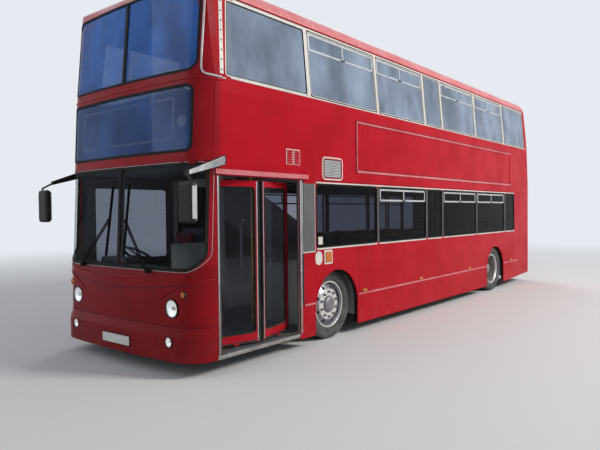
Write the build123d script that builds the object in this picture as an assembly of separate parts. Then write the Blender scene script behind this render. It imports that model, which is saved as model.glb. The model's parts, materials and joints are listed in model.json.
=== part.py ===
from build123d import *
import math
import os

os.makedirs("parts", exist_ok=True)

# Millimetres. X forward, Y to the bus's left (its door side), Z up, ground at Z = 0.
# A station is a distance behind the front of the bumper.

# Whole body
LENGTH = 10500
WIDTH = 2520
WALL = 45
MIRROR_LEAD = 130
NOSE_X = (LENGTH - MIRROR_LEAD) / 2
HALF = WIDTH / 2
GAP = 6
SEAT_GAP = 0.3

# Heights
BUMPER_BOTTOM = 165
SKIRT_BOTTOM = 137
TAIL_BOTTOM = 205
TRIM_Z = 542
DECK_JOINT_Z = 2075
ROOF_JOINT_Z = 4000
LEAN_Z = 2950
CANTRAIL_Z = 4000
LEAN_IN = 90
CANTRAIL_RADIUS = 200
CROWN_TILT = 5

# Front outline in plan, the same at every height, and how far it leans back with height
CORNER_RUN = 340
CORNER_RADIUS = 300
BUMPER_LEDGE_Z = 418
BUMPER_TOP_Z = 520
FRONT_LEAN = [  # height, station of the centre of the front
    (0, 0),
    (BUMPER_LEDGE_Z, 0),
    (BUMPER_TOP_Z, 34),
    (1140, 44),
    (2200, 95),
    (3050, 140),
    (4400, 262),
]
FRONT_ROOF_RADIUS = 230
REAR_RADIUS = 160
REAR_LEAN_Z = 2300
REAR_LEAN = 0.10
REAR_ROOF_RADIUS = 420
ROOF_CREASE = 10

# Panel joints
FRONT_JOINT = 400
REAR_JOINT = 10230

# Wheels and axles
TYRE_RADIUS = 455
TYRE_WIDTH = 275
RIM_RADIUS = 308
RIM_WELL = 268
FRONT_AXLE = 2505
REAR_AXLE = 8225
FRONT_TYRE_Y = 1012
REAR_TYRE_Y = 1068
TWIN_SPACING = 310
ARCH_RADIUS = 490
ARCH_APEX = 937
WHEEL_BOX_HALF = 560
WHEEL_BOX_TOP = 1010
WHEEL_BOX_WALL = 20
FRONT_BOX_Y = 500
REAR_BOX_Y = 580
KINGPIN_Y = 930
KINGPIN_RADIUS = 20
FRONT_STUB_RADIUS = 40
REAR_STUB_RADIUS = 55
RUN_GAP = 0.3
PIN_PLAY = 0.4

# Floors
ENTRY_FLOOR = 212
LOW_FLOOR = 280
FLOOR_THICK = 30
STEP_STATION = 7350
HIGH_FLOOR = 520
BULKHEAD = 9480
UPPER_FLOOR_TOP = 2330
UPPER_FLOOR_THICK = 160
RAIL_Y = 400
RAIL_WIDTH = 80

# Door
DOOR_FRONT = 405
DOOR_REAR = 1730
SILL_Z = 206
DOOR_TOP = 2075
POST_RADIUS = 14
LEAF_THICK = 28
LEAF_BOTTOM = 242
LEAF_TOP = 2042
LEAF_LEAD = 30
LEAF_TAIL = 14
ARM_THICK = 12
ARM_WIDTH = 34
DOOR_REST = 14

# Windows
LOWER_SILL = 1235
LOWER_HEAD = 2035
UPPER_SILL = 3121
UPPER_HEAD = 3945
PILLAR = 64
LOWER_BAYS = [2030, 3540, 5090, 5700, 7230, 8790, 9430]
UPPER_BAYS = [1960, 3580, 5080, 5740, 7240, 8770, 10180]
UPPER_FIRST = 590
WINDOW_RADIUS = 55
GLASS_SET = 7
GLASS_THICK = 8

# Front glass
SCREEN_BOTTOM = 1105
SCREEN_TOP = 2185
SCREEN_HALF = 1228
SCREEN_BAR = 50
SCREEN_RADII = (190, 60)
UPPER_SCREEN_RADII = (110, 150)
SIGN_RADIUS = 70
SIGN_BOTTOM = 2325
SIGN_TOP = 2995
SIGN_HALF = 1105
UPPER_SCREEN_BOTTOM = 3150
UPPER_SCREEN_TOP = 4065
UPPER_SCREEN_HALF = 1135
GLASS_END = 300

parts = {}


def save(name, shape):
    """Keeps a piece under its node's name."""
    parts[name] = shape


def at(station):
    """X of a station."""
    return NOSE_X - station


def block(s0, s1, y0, y1, z0, z1):
    """A box between two stations, two widths and two heights."""
    centre = Pos((at(s0) + at(s1)) / 2, (y0 + y1) / 2, (z0 + z1) / 2)
    return centre * Box(abs(s1 - s0), abs(y1 - y0), abs(z1 - z0))


def both(shape):
    """A piece and its mirror image on the other side of the bus."""
    return [shape, mirror(shape, about=Plane.XZ)]


def fuse(pieces):
    """Joins pieces into one shape, solids that don't touch among them."""
    pieces = list(pieces)
    return pieces[0].fuse(*pieces[1:]) if len(pieces) > 1 else pieces[0]


def round_box(u0, u1, v0, v1, radius):
    """A flat rounded rectangle in its plane's own axes."""
    width, height = abs(u1 - u0), abs(v1 - v0)
    radius = min(radius, width / 2.1, height / 2.1)
    return Pos((u0 + u1) / 2, (v0 + v1) / 2) * RectangleRounded(width, height, radius)


def nose_prism(face, s0, s1):
    """A face drawn in Y and Z, run from one station to another."""
    return Pos(at(s1), 0, 0) * extrude(Plane.YZ * face, amount=s1 - s0)


def turned(points):
    """A solid turned about the Y axis from points of offset along Y and radius."""
    return revolve(Plane.YZ * make_face(Polyline(*points, close=True)), Axis.Y)


# Outer form

def bend(start, tilt_from, tilt_to, radius):
    """Middle and end of an arc that turns inward from a line leaning off the vertical."""
    def point(tilt):
        inward = radius * (math.cos(tilt_from) - math.cos(tilt))
        return start[0] - inward, start[1] + radius * (math.sin(tilt) - math.sin(tilt_from))

    return point((tilt_from + tilt_to) / 2), point(tilt_to)


def body_section():
    """Cross-section of the body: upright sides, a lean above, cantrail arcs and a crowned roof."""
    lean = math.atan(LEAN_IN / (CANTRAIL_Z - LEAN_Z))
    top = (HALF - LEAN_IN, CANTRAIL_Z)
    middle, end = bend(top, lean, math.radians(90 - CROWN_TILT), CANTRAIL_RADIUS)
    crown = end[1] + end[0] * math.tan(math.radians(CROWN_TILT / 2))

    def other(point):
        return -point[0], point[1]

    edges = [
        Line((-HALF, 0), (HALF, 0)),
        Line((HALF, 0), (HALF, LEAN_Z)),
        Line((HALF, LEAN_Z), top),
        ThreePointArc(top, middle, end),
        ThreePointArc(end, (0, crown), other(end)),
        ThreePointArc(other(end), other(middle), other(top)),
        Line(other(top), (-HALF, LEAN_Z)),
        Line((-HALF, LEAN_Z), (-HALF, 0)),
    ]
    return make_face(edges), crown


def front_lean(z):
    """Station of the centre of the front at a height."""
    for (z0, s0), (z1, s1) in zip(FRONT_LEAN, FRONT_LEAN[1:]):
        if z <= z1:
            return s0 + (s1 - s0) * (z - z0) / (z1 - z0)
    return FRONT_LEAN[-1][1]


def roof_end(crown, radius, lean_tilt, lean_x):
    """Arc from an end's leaning face up to the roof line, as start, middle and end."""
    tilt = lean_tilt + math.radians(ROOF_CREASE)
    z = crown - radius * (1 - math.sin(tilt))
    start = (lean_x(z), z)
    middle, end = bend(start, tilt, math.radians(90), radius)
    return start, middle, end


def side_outline(crown):
    """Side view of the body's ends: the rounded front of the roof and the sloping rear dome."""
    step = 100
    front_tilt = math.atan((front_lean(CANTRAIL_Z) - front_lean(CANTRAIL_Z - step)) / step)
    front = roof_end(crown, FRONT_ROOF_RADIUS, front_tilt, lambda z: at(front_lean(z)))
    rear = roof_end(
        crown,
        REAR_ROOF_RADIUS,
        math.atan(REAR_LEAN),
        lambda z: -at(LENGTH - REAR_LEAN * (z - REAR_LEAN_Z)),
    )
    start, middle, end = front
    back_start, back_middle, back_end = [(-x, z) for x, z in rear]
    far = 400
    drop = 3 * far
    edges = [
        Line((at(LENGTH) - far, 0), (NOSE_X + far, 0)),
        Line((NOSE_X + far, 0), (NOSE_X + far, start[1] - drop)),
        Line((NOSE_X + far, start[1] - drop), start),
        ThreePointArc(start, middle, end),
        Line(end, back_end),
        ThreePointArc(back_end, back_middle, back_start),
        Line(back_start, (at(LENGTH) - far, back_start[1] - drop)),
        Line((at(LENGTH) - far, back_start[1] - drop), (at(LENGTH) - far, 0)),
    ]
    return make_face(edges)


def front_plan():
    """Plan of the front: a shallow bow that turns into the sides through corner arcs."""
    inner = HALF - CORNER_RADIUS
    bow = (CORNER_RUN**2 + inner**2 - CORNER_RADIUS**2) / (2 * (CORNER_RUN - CORNER_RADIUS))
    bow_centre = at(bow)
    corner = Vector(at(CORNER_RUN), inner)
    away = (corner - Vector(bow_centre, 0)).normalized()
    join = Vector(bow_centre, 0) + away * bow
    half_way = (away + Vector(0, 1)).normalized() * CORNER_RADIUS + corner
    tail = at(LENGTH) - 2 * REAR_RADIUS

    def pair(point):
        return (point.X, point.Y), (point.X, -point.Y)

    (jl, jr), (hl, hr) = pair(join), pair(half_way)
    side_l, side_r = pair(Vector(at(CORNER_RUN), HALF))
    edges = [
        ThreePointArc(jr, (NOSE_X, 0), jl),
        ThreePointArc(jl, hl, side_l),
        Line(side_l, (tail, HALF)),
        Line((tail, HALF), (tail, -HALF)),
        Line((tail, -HALF), side_r),
        ThreePointArc(side_r, hr, jr),
    ]
    return make_face(edges)


def rear_plan():
    """Plan of the rear with its rounded corners, run forward past the nose."""
    long = LENGTH + 4 * REAR_RADIUS
    box = Pos(at(LENGTH) + long / 2, 0) * RectangleRounded(long, WIDTH, REAR_RADIUS)
    return box.face()


def swept(face, z0, z1, shift):
    """A plan face at one height, carried up to another with a shift along X."""
    ends = [(Pos(x, 0, z) * face).face().outer_wire() for x, z in ((0, z0), (shift, z1))]
    return Solid.make_loft(ends, ruled=True)


def form(inset):
    """The whole body's outer form, drawn in by an inset all round but below."""
    section, crown = body_section()
    section = offset(section, -inset).face() if inset else section
    outline = side_outline(crown)
    outline = offset(outline, -inset).face() if inset else outline
    nose = front_plan().face()
    nose = offset(nose, -inset).face() if inset else nose
    tail = rear_plan()
    tail = offset(tail, -inset).face() if inset else tail
    along = Pos(at(LENGTH) - WALL, 0, 0) * extrude(Plane.YZ * section, amount=LENGTH + 2 * WALL)
    across = extrude(Plane.XZ * outline, amount=WIDTH, both=True)
    steps = []
    for (z0, s0), (z1, s1) in zip(FRONT_LEAN, FRONT_LEAN[1:]):
        steps.append(swept(Pos(-s0, 0, 0) * nose, z0, z1, s0 - s1))
    front = steps[0].fuse(*steps[1:])
    top = FRONT_LEAN[-1][0]
    back = swept(tail, 0, REAR_LEAN_Z, 0).fuse(
        swept(tail, REAR_LEAN_Z, top, REAR_LEAN * (top - REAR_LEAN_Z))
    )
    return along & across & front & back


SKIN = form(0)
INNER = form(WALL)
GLASS_OUT = form(GLASS_SET)
GLASS_IN = form(GLASS_SET + GLASS_THICK)
SHELL = SKIN - INNER
SWAGE_PROUD = 9
SWAGE_SHELL = Pos(SWAGE_PROUD, 0, 0) * SKIN - INNER
PANE = GLASS_OUT - GLASS_IN

# Body panels

DECK_LEVEL = (DECK_JOINT_Z, ROOF_JOINT_Z)
PANEL_TOP = 1142
UPPER_FRONT_Z = 3060
UPPER_JOINT = 450
STAIR_PANEL = (1800, 3540)
CAB_WINDOW = (520, 1700)
CAB_SILL = 1050
COVER_Z = (430, 1480)
COVER_HALF = 960
EXIT_Z = (3070, 3900)
EXIT_HALF = 800
EXIT_FRAME = 75
FAR = 400


def arch_cut(axle):
    """The hollow of a wheel arch in the side of the body, round above and straight below."""
    centre = ARCH_APEX - ARCH_RADIUS
    hoop = Pos(at(axle), 0, centre) * Rot(90, 0, 0) * Cylinder(ARCH_RADIUS, 2 * WIDTH)
    legs = block(axle - ARCH_RADIUS, axle + ARCH_RADIUS, -WIDTH, WIDTH, -FAR, centre)
    return hoop + legs


def bay_faces(bays, sill, head):
    """Rounded window faces between the pillars of a row of bays."""
    return [
        round_box(at(s1) + PILLAR / 2, at(s0) - PILLAR / 2, sill, head, WINDOW_RADIUS)
        for s0, s1 in zip(bays, bays[1:])
    ]


def first_upper_face():
    """The front upper-deck side window, whose front edge leans with the front."""
    lean = front_lean(UPPER_HEAD) - front_lean(UPPER_SILL)
    x0, x1 = at(UPPER_FIRST), at(UPPER_BAYS[0]) + PILLAR / 2
    points = [(x1, UPPER_SILL), (x0, UPPER_SILL), (x0 - lean, UPPER_HEAD), (x1, UPPER_HEAD)]
    face = make_face(Polyline(*points, close=True))
    return fillet(face.vertices(), WINDOW_RADIUS)


def pane_face(y0, y1, z0, z1, low_radius, high_radius):
    """One half of a two-piece screen, with its outer corners rounded."""
    face = Pos((y0 + y1) / 2, (z0 + z1) / 2) * Rectangle(abs(y1 - y0), abs(z1 - z0))
    outer = face.vertices().sort_by(lambda v: -abs(v.X))[:2].sort_by(Axis.Y)
    low, high = outer[0], outer[1]
    face = fillet(low, low_radius)
    outer = face.vertices().sort_by(lambda v: (-round(v.Y), -abs(v.X)))
    return fillet(outer[0], high_radius)


def screen_cuts(half, bottom, top, low_radius, high_radius):
    """Both halves of a two-piece front screen, as prisms through the front."""
    pieces = []
    for side in (-1, 1):
        inner, outer = side * SCREEN_BAR / 2, side * half
        face = pane_face(inner, outer, bottom, top, low_radius, high_radius)
        pieces.append(nose_prism(face, -FAR, GLASS_END))
    return pieces


LEFT_LOWER_FACES = bay_faces(LOWER_BAYS, LOWER_SILL, LOWER_HEAD)
RIGHT_LOWER_FACES = bay_faces(LOWER_BAYS[1:], LOWER_SILL, LOWER_HEAD) + [
    round_box(at(CAB_WINDOW[1]), at(CAB_WINDOW[0]), CAB_SILL, LOWER_HEAD, WINDOW_RADIUS)
]
UPPER_FACES = bay_faces(UPPER_BAYS, UPPER_SILL, UPPER_HEAD) + [first_upper_face()]


def side_cuts(faces, side):
    """Window faces run out through one side wall."""
    return [extrude(Plane.XZ * face, amount=-side * WIDTH) for face in faces]


LEFT_LOWER_CUTS = side_cuts(LEFT_LOWER_FACES, 1)
RIGHT_LOWER_CUTS = side_cuts(RIGHT_LOWER_FACES, -1)
LEFT_UPPER_CUTS = side_cuts(UPPER_FACES, 1)
RIGHT_UPPER_CUTS = side_cuts(UPPER_FACES, -1)
LOWER_SCREENS = screen_cuts(SCREEN_HALF, SCREEN_BOTTOM, SCREEN_TOP, *SCREEN_RADII)
UPPER_SCREENS = screen_cuts(
    UPPER_SCREEN_HALF, UPPER_SCREEN_BOTTOM, UPPER_SCREEN_TOP, *UPPER_SCREEN_RADII
)
SIGN_CUT = nose_prism(
    round_box(-SIGN_HALF, SIGN_HALF, SIGN_BOTTOM, SIGN_TOP, SIGN_RADIUS), -FAR, GLASS_END
)
ARCHES = [arch_cut(FRONT_AXLE), arch_cut(REAR_AXLE)]


def pierced(wall, cuts):
    """A wall with each of its holes cut in turn."""
    for cut in cuts:
        wall = wall - cut
    return wall


def side_panel(side, s0, s1, z0, z1, cuts):
    """A length of side wall between two stations and heights, with holes cut."""
    return pierced(SHELL & block(s0, s1, 0, side * (HALF + WALL), z0, z1), cuts)


def nose_panel(end, z0, z1, cuts):
    """The front of the body back to a station, between two heights, with holes cut."""
    return pierced(SHELL & block(-FAR, end, -WIDTH, WIDTH, z0, z1), cuts)


TAIL_WEDGE = extrude(
    Plane.XZ
    * make_face(
        Polyline(
            (at(REAR_AXLE + ARCH_RADIUS), 0),
            (at(REAR_AXLE + ARCH_RADIUS), SKIRT_BOTTOM),
            (at(LENGTH + WALL), TAIL_BOTTOM + 10),
            (at(LENGTH + WALL), 0),
            close=True,
        )
    ),
    amount=WIDTH,
    both=True,
)
SKIRT_CUTS = ARCHES + [TAIL_WEDGE]

save(
    "side_skirts",
    fuse(
        [
            side_panel(1, DOOR_REAR, REAR_JOINT, SKIRT_BOTTOM, TRIM_Z, SKIRT_CUTS),
            side_panel(-1, FRONT_JOINT, REAR_JOINT, SKIRT_BOTTOM, TRIM_Z, SKIRT_CUTS),
        ]
    ),
)
save(
    "left_lower_side",
    side_panel(1, DOOR_REAR, REAR_JOINT, TRIM_Z, DECK_JOINT_Z, LEFT_LOWER_CUTS + ARCHES),
)
save(
    "right_lower_side",
    side_panel(-1, FRONT_JOINT, REAR_JOINT, TRIM_Z, DECK_JOINT_Z, RIGHT_LOWER_CUTS + ARCHES),
)
save("left_upper_side", side_panel(1, UPPER_JOINT, REAR_JOINT, *DECK_LEVEL, LEFT_UPPER_CUTS))
save("right_upper_side", side_panel(-1, UPPER_JOINT, REAR_JOINT, *DECK_LEVEL, RIGHT_UPPER_CUTS))

# Front

HEAD_Y, HEAD_Z, HEAD_RADIUS = 898, 706, 100
FOG_Y, FOG_Z, FOG_RADIUS = 886, 364, 55
TURN_Y, TURN_Z, TURN_RADIUS = 1052, 856, 38
LAMP_DEPTH = WALL - 5
LAMP_PROUD = 10
LAMP_RING = 8
LAMP_EDGE = 2
LENS_RISE = 7
FRONT_LAMPS = [  # offset from the centre, height, radius
    (HEAD_Y, HEAD_Z, HEAD_RADIUS),
    (FOG_Y, FOG_Z, FOG_RADIUS),
    (TURN_Y, TURN_Z, TURN_RADIUS),
]


def bow_station(y, z):
    """Station of the front's surface at an offset from the centre and a height."""
    inner = HALF - CORNER_RADIUS
    bow = (CORNER_RUN**2 + inner**2 - CORNER_RADIUS**2) / (2 * (CORNER_RUN - CORNER_RADIUS))
    join = inner * bow / math.hypot(bow - CORNER_RUN, inner)
    if abs(y) <= join:
        return front_lean(z) + bow - math.sqrt(bow**2 - y**2)
    return front_lean(z) + CORNER_RUN - math.sqrt(CORNER_RADIUS**2 - (abs(y) - inner) ** 2)


def along_x(s0, s1, y, z, radius):
    """A round bar along X between two stations."""
    return Pos((at(s0) + at(s1)) / 2, y, z) * Rot(0, 90, 0) * Cylinder(radius, abs(s1 - s0))


def along_y(y0, y1, s, z, radius):
    """A round bar across the bus between two offsets."""
    return Pos(at(s), (y0 + y1) / 2, z) * Rot(90, 0, 0) * Cylinder(radius, abs(y1 - y0))


def upright(z0, z1, s, y, radius):
    """An upright round bar between two heights."""
    return Pos(at(s), y, (z0 + z1) / 2) * Cylinder(radius, abs(z1 - z0))


def lamp_unit(radius):
    """A lamp that looks along X: a barrel, a raised ring and a domed lens within it."""
    opening = radius - LAMP_RING
    dome = (opening**2 + LENS_RISE**2) / (2 * LENS_RISE)
    turn = math.asin(opening / dome) / 2
    crown = (LENS_RISE, 0)
    shoulder = (LENS_RISE - dome * (1 - math.cos(turn)), dome * math.sin(turn))
    outline = [
        (-LAMP_DEPTH, 0),
        (-LAMP_DEPTH, radius),
        (LAMP_PROUD - LAMP_EDGE, radius),
        (LAMP_PROUD, radius - LAMP_EDGE),
        (LAMP_PROUD, opening),
        (0, opening),
    ]
    edges = [Line(start, end) for start, end in zip(outline, outline[1:])]
    edges += [ThreePointArc(outline[-1], shoulder, crown), Line(crown, outline[0])]
    return revolve(Plane.XY * make_face(edges), Axis.X)


SWAGE_END = 1156
SWAGE_LOW = (888, 995)
SWAGE_TOP = (966, 1085)
BROW = [(724, 793), (930, 908), (1160, 985)]
BROW_HALF = 8
SWAGE_BACK = 300


def arc_band(low, top):
    """A band between two arcs, each through three points of offset and height, on the front."""
    edges = [
        ThreePointArc(*low),
        Line(low[2], top[2]),
        ThreePointArc(*reversed(top)),
        Line(top[0], low[0]),
    ]
    return SWAGE_SHELL & nose_prism(make_face(edges), -FAR, SWAGE_BACK)


def across(middle, end):
    """Three points of a curve that is level with itself on both sides of the centre."""
    return [(-SWAGE_END, end), (0, middle), (SWAGE_END, end)]


swages = [arc_band(across(*SWAGE_LOW), across(*SWAGE_TOP))]
brow_low, brow_top = [[(y, z + rise) for y, z in BROW] for rise in (-BROW_HALF, BROW_HALF)]
swages += both(arc_band(brow_low, brow_top))

LAMP_HOLES = []
LAMPS = []
for y, z, radius in FRONT_LAMPS:
    face = bow_station(y, z)
    hole = along_x(-FAR, face + FAR / 2, y, z, radius)
    lamp = Pos(at(face), y, z) * lamp_unit(radius)
    LAMP_HOLES += both(hole)
    LAMPS += both(lamp - INNER)

save("front_bumper", nose_panel(FRONT_JOINT, BUMPER_BOTTOM, BUMPER_TOP_Z, LAMP_HOLES))
front_panel = nose_panel(FRONT_JOINT, BUMPER_TOP_Z, PANEL_TOP, LOWER_SCREENS)
save("front_panel", pierced(fuse([front_panel] + swages), LAMP_HOLES))
save("screen_pillars", nose_panel(FRONT_JOINT, PANEL_TOP, DECK_JOINT_Z, LOWER_SCREENS))
save(
    "destination_panel",
    nose_panel(UPPER_JOINT, DECK_JOINT_Z, UPPER_FRONT_Z, LOWER_SCREENS + [SIGN_CUT]),
)
save("upper_front", nose_panel(UPPER_JOINT, UPPER_FRONT_Z, ROOF_JOINT_Z, UPPER_SCREENS))
save("front_lamps", fuse(LAMPS))
save(
    "front_glazing",
    fuse([PANE & cut for cut in LOWER_SCREENS + UPPER_SCREENS + [SIGN_CUT]]),
)

# Rear

COVER_RADIUS = 60
EXIT_RADIUS = 80
COVER_CUT = nose_prism(
    round_box(-COVER_HALF, COVER_HALF, *COVER_Z, COVER_RADIUS), LENGTH - FAR, LENGTH + FAR
)
COVER_FORM = nose_prism(
    round_box(
        -COVER_HALF + GAP,
        COVER_HALF - GAP,
        COVER_Z[0] + GAP,
        COVER_Z[1] - GAP,
        COVER_RADIUS - GAP,
    ),
    LENGTH - FAR,
    LENGTH + FAR,
)
EXIT_CUT = nose_prism(
    round_box(-EXIT_HALF, EXIT_HALF, *EXIT_Z, EXIT_RADIUS), LENGTH - FAR, LENGTH + FAR
)
EXIT_FORM = nose_prism(
    round_box(
        -EXIT_HALF + GAP,
        EXIT_HALF - GAP,
        EXIT_Z[0] + GAP,
        EXIT_Z[1] - GAP,
        EXIT_RADIUS - GAP,
    ),
    LENGTH - FAR,
    LENGTH + FAR,
)
EXIT_PANE = nose_prism(
    round_box(
        -EXIT_HALF + EXIT_FRAME,
        EXIT_HALF - EXIT_FRAME,
        EXIT_Z[0] + EXIT_FRAME,
        EXIT_Z[1] - EXIT_FRAME,
        EXIT_RADIUS - EXIT_FRAME / 2,
    ),
    LENGTH - FAR,
    LENGTH + FAR,
)
REAR_LAMP_Y = 1090
REAR_LAMP_RADIUS = 52
REAR_LAMP_HEIGHTS = [820, 950, 1080, 1210]
REAR_HOLES = []
REAR_LAMPS = []
for z in REAR_LAMP_HEIGHTS:
    REAR_HOLES += both(along_x(LENGTH - FAR / 2, LENGTH + FAR, REAR_LAMP_Y, z, REAR_LAMP_RADIUS))
    place = Pos(at(LENGTH), REAR_LAMP_Y, z) * Rot(0, 0, 180)
    REAR_LAMPS += both(place * lamp_unit(REAR_LAMP_RADIUS))


def profile(points, y0, y1):
    """A side view, drawn as stations and heights, run between two offsets."""
    face = make_face(Polyline(*[(at(s), z) for s, z in points], close=True))
    return Pos(0, max(y0, y1), 0) * extrude(Plane.XZ * face, amount=abs(y1 - y0))


def tail_panel(z0, z1, cuts):
    """The rear of the body between two heights, with holes cut."""
    return pierced(SHELL & block(REAR_JOINT, LENGTH + FAR, -WIDTH, WIDTH, z0, z1), cuts)


LOUVRES = 9
LOUVRE_LOW = 620
LOUVRE_PITCH = 45
LOUVRE_HIGH = 30
LOUVRE_DEEP = 16
LOUVRE_SPAN = (60, 800)
HINGE_OUT = 12
HINGE_RADIUS = 10
HINGE_PIN = 4
HINGE_LONG = 30
HINGE_STEP = HINGE_LONG + 2
HINGE_LEAF = 45


def hinge():
    """A butt hinge about Z on a face at X = -HINGE_OUT: fixed leaf to +Y, moving leaf to -Y."""
    leaf = Pos(-HINGE_OUT + 4, (HINGE_LEAF + GAP / 2) / 2, 0) * Box(8, HINGE_LEAF - GAP / 2, HINGE_LONG)
    barrel = Cylinder(HINGE_RADIUS, HINGE_LONG)
    fixed = leaf + barrel - Cylinder(HINGE_PIN + PIN_PLAY, 2 * HINGE_LONG)
    ends = [Pos(0, 0, z) * (barrel + mirror(leaf, about=Plane.XZ)) for z in (-HINGE_STEP, HINGE_STEP)]
    return fixed, fuse(ends + [Cylinder(HINGE_PIN, 2 * HINGE_STEP)])


def hinges(places):
    """Fixed and moving leaves of hinges at a list of places."""
    leaves = [(place * fixed, place * moving) for place in places for fixed, moving in [hinge()]]
    return [fixed for fixed, moving in leaves], [moving for fixed, moving in leaves]


def rear_face(y, z):
    """Origin of a hinge outside the rear's flat face at an offset and a height."""
    lean = max(z - REAR_LEAN_Z, 0) * REAR_LEAN
    out = Vector(-1, 0, REAR_LEAN if lean else 0).normalized() * HINGE_OUT
    return Vector(at(LENGTH) + lean, y, z) + out


COVER_HINGES = [
    Location(Plane(rear_face(y, COVER_Z[1] - GAP / 2), x_dir=(-1, 0, 0), z_dir=(0, 1, 0)))
    for y in (-600, 600)
]
EXIT_HINGES = [
    Location(
        Plane(
            rear_face(-EXIT_HALF + GAP / 2, z),
            x_dir=(-1, 0, REAR_LEAN),
            z_dir=(REAR_LEAN, 0, 1),
        )
    )
    for z in (3230, 3740)
]
cover_fixed, cover_moving = hinges(COVER_HINGES)
exit_fixed, exit_moving = hinges(EXIT_HINGES)
rear_lower = tail_panel(TAIL_BOTTOM, DECK_JOINT_Z, REAR_HOLES + [COVER_CUT, TAIL_WEDGE])
save("rear_lower", fuse([rear_lower] + cover_fixed))
save("rear_upper", fuse([tail_panel(*DECK_LEVEL, [EXIT_CUT])] + exit_fixed))
save("rear_lamps", fuse(REAR_LAMPS))
louvres = []
for i in range(LOUVRES):
    z = LOUVRE_LOW + i * LOUVRE_PITCH
    mouth = [
        (LENGTH + LOUVRE_DEEP, z),
        (LENGTH - LOUVRE_DEEP, z),
        (LENGTH, z + LOUVRE_HIGH),
        (LENGTH + LOUVRE_DEEP, z + LOUVRE_HIGH),
    ]
    louvres += both(profile(mouth, *LOUVRE_SPAN))
cover = (SHELL & COVER_FORM).cut(*louvres)
save("engine_cover", fuse([cover] + cover_moving))
save("emergency_exit", fuse([(SHELL & EXIT_FORM).cut(EXIT_PANE)] + exit_moving))
save("exit_glass", PANE & EXIT_PANE)

roof = SHELL & block(-FAR, LENGTH + FAR, -WIDTH, WIDTH, ROOF_JOINT_Z, ROOF_JOINT_Z + 2 * FAR)
save("roof", roof.cut(*UPPER_SCREENS))
save("lower_glazing", fuse([PANE & cut for cut in LEFT_LOWER_CUTS + RIGHT_LOWER_CUTS]))
save("upper_glazing", fuse([PANE & cut for cut in LEFT_UPPER_CUTS + RIGHT_UPPER_CUTS]))

LOWER_VENTS = [1, 3, 4]
UPPER_VENTS = [0, 1, 3, 4]
LOWER_VENT_Z = 1830
UPPER_VENT_Z = 3700
VENT_IN = 24
VENT_BAR = 26
VENT_THICK = 5


def vent_frame(bays, index, low, head, side):
    """An opening vent's frame on the glass: its surround and the rail between its two panes."""
    x0, x1 = at(bays[index + 1]) + PILLAR / 2 + VENT_IN, at(bays[index]) - PILLAR / 2 - VENT_IN
    frame = round_box(x0, x1, low, head - VENT_IN, WINDOW_RADIUS - VENT_IN)
    middle = (x0 + x1 - VENT_BAR) / 2
    for u0, u1 in ((x0 + VENT_BAR, middle), (middle + VENT_BAR, x1 - VENT_BAR)):
        frame -= round_box(u0, u1, low + VENT_BAR, head - VENT_IN - VENT_BAR, VENT_BAR / 2)
    layer = Pos(0, side * VENT_THICK, 0) * GLASS_OUT - GLASS_OUT
    return layer & extrude(Plane.XZ * frame, amount=-side * WIDTH)


vents = []
for side in (1, -1):
    vents += [vent_frame(LOWER_BAYS, i, LOWER_VENT_Z, LOWER_HEAD, side) for i in LOWER_VENTS]
    vents += [vent_frame(UPPER_BAYS, i, UPPER_VENT_Z, UPPER_HEAD, side) for i in UPPER_VENTS]
save("vent_frames", fuse(vents))

# Floors and partitions

BOX_SPANS = [(FRONT_AXLE, FRONT_BOX_Y), (REAR_AXLE, REAR_BOX_Y)]
RAMP = (1750, 2050)
STEP_TREAD = 260
STEP_RISE = (HIGH_FLOOR - LOW_FLOOR) / 2
STAIR_FOOT = 4130
STAIR_RISERS = 9
STAIR_GOING = 232
STAIR_IN_Y = 520
STAIR_WELL = (2080, 3960)
CAB_REAR = 1790
CAB_PLATFORM = 470
CAB_IN_Y = 130
PLATE = 20
CEILING = UPPER_FLOOR_TOP - UPPER_FLOOR_THICK


def box_hollow(axle, inner_y):
    """The outside of a wheel box, from under the floor to its top."""
    low = LOW_FLOOR - FLOOR_THICK
    return block(axle - WHEEL_BOX_HALF, axle + WHEEL_BOX_HALF, inner_y, HALF, low, WHEEL_BOX_TOP)


FLOOR_TOP = [  # station, height
    (0, ENTRY_FLOOR),
    (RAMP[0], ENTRY_FLOOR),
    (RAMP[1], LOW_FLOOR),
    (STEP_STATION, LOW_FLOOR),
    (STEP_STATION, LOW_FLOOR + STEP_RISE),
    (STEP_STATION + STEP_TREAD, LOW_FLOOR + STEP_RISE),
    (STEP_STATION + STEP_TREAD, HIGH_FLOOR),
    (BULKHEAD, HIGH_FLOOR),
]
STEP_BACK = STEP_STATION + FLOOR_THICK
FLOOR_UNDER = [
    (BULKHEAD, HIGH_FLOOR - FLOOR_THICK),
    (STEP_BACK + STEP_TREAD, HIGH_FLOOR - FLOOR_THICK),
    (STEP_BACK + STEP_TREAD, LOW_FLOOR + STEP_RISE - FLOOR_THICK),
    (STEP_BACK, LOW_FLOOR + STEP_RISE - FLOOR_THICK),
    (STEP_BACK, LOW_FLOOR - FLOOR_THICK),
    (RAMP[1], LOW_FLOOR - FLOOR_THICK),
    (RAMP[0], ENTRY_FLOOR - FLOOR_THICK),
    (0, ENTRY_FLOOR - FLOOR_THICK),
]
BOX_HOLLOWS = [piece for axle, y in BOX_SPANS for piece in both(box_hollow(axle, y))]
sill = block(DOOR_FRONT, DOOR_REAR, HALF - WALL - 1, HALF, ENTRY_FLOOR - FLOOR_THICK, SILL_Z)
floor = (profile(FLOOR_TOP + FLOOR_UNDER, -HALF, HALF) & INNER).cut(*BOX_HOLLOWS)
save("lower_floor", floor + sill)


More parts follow.
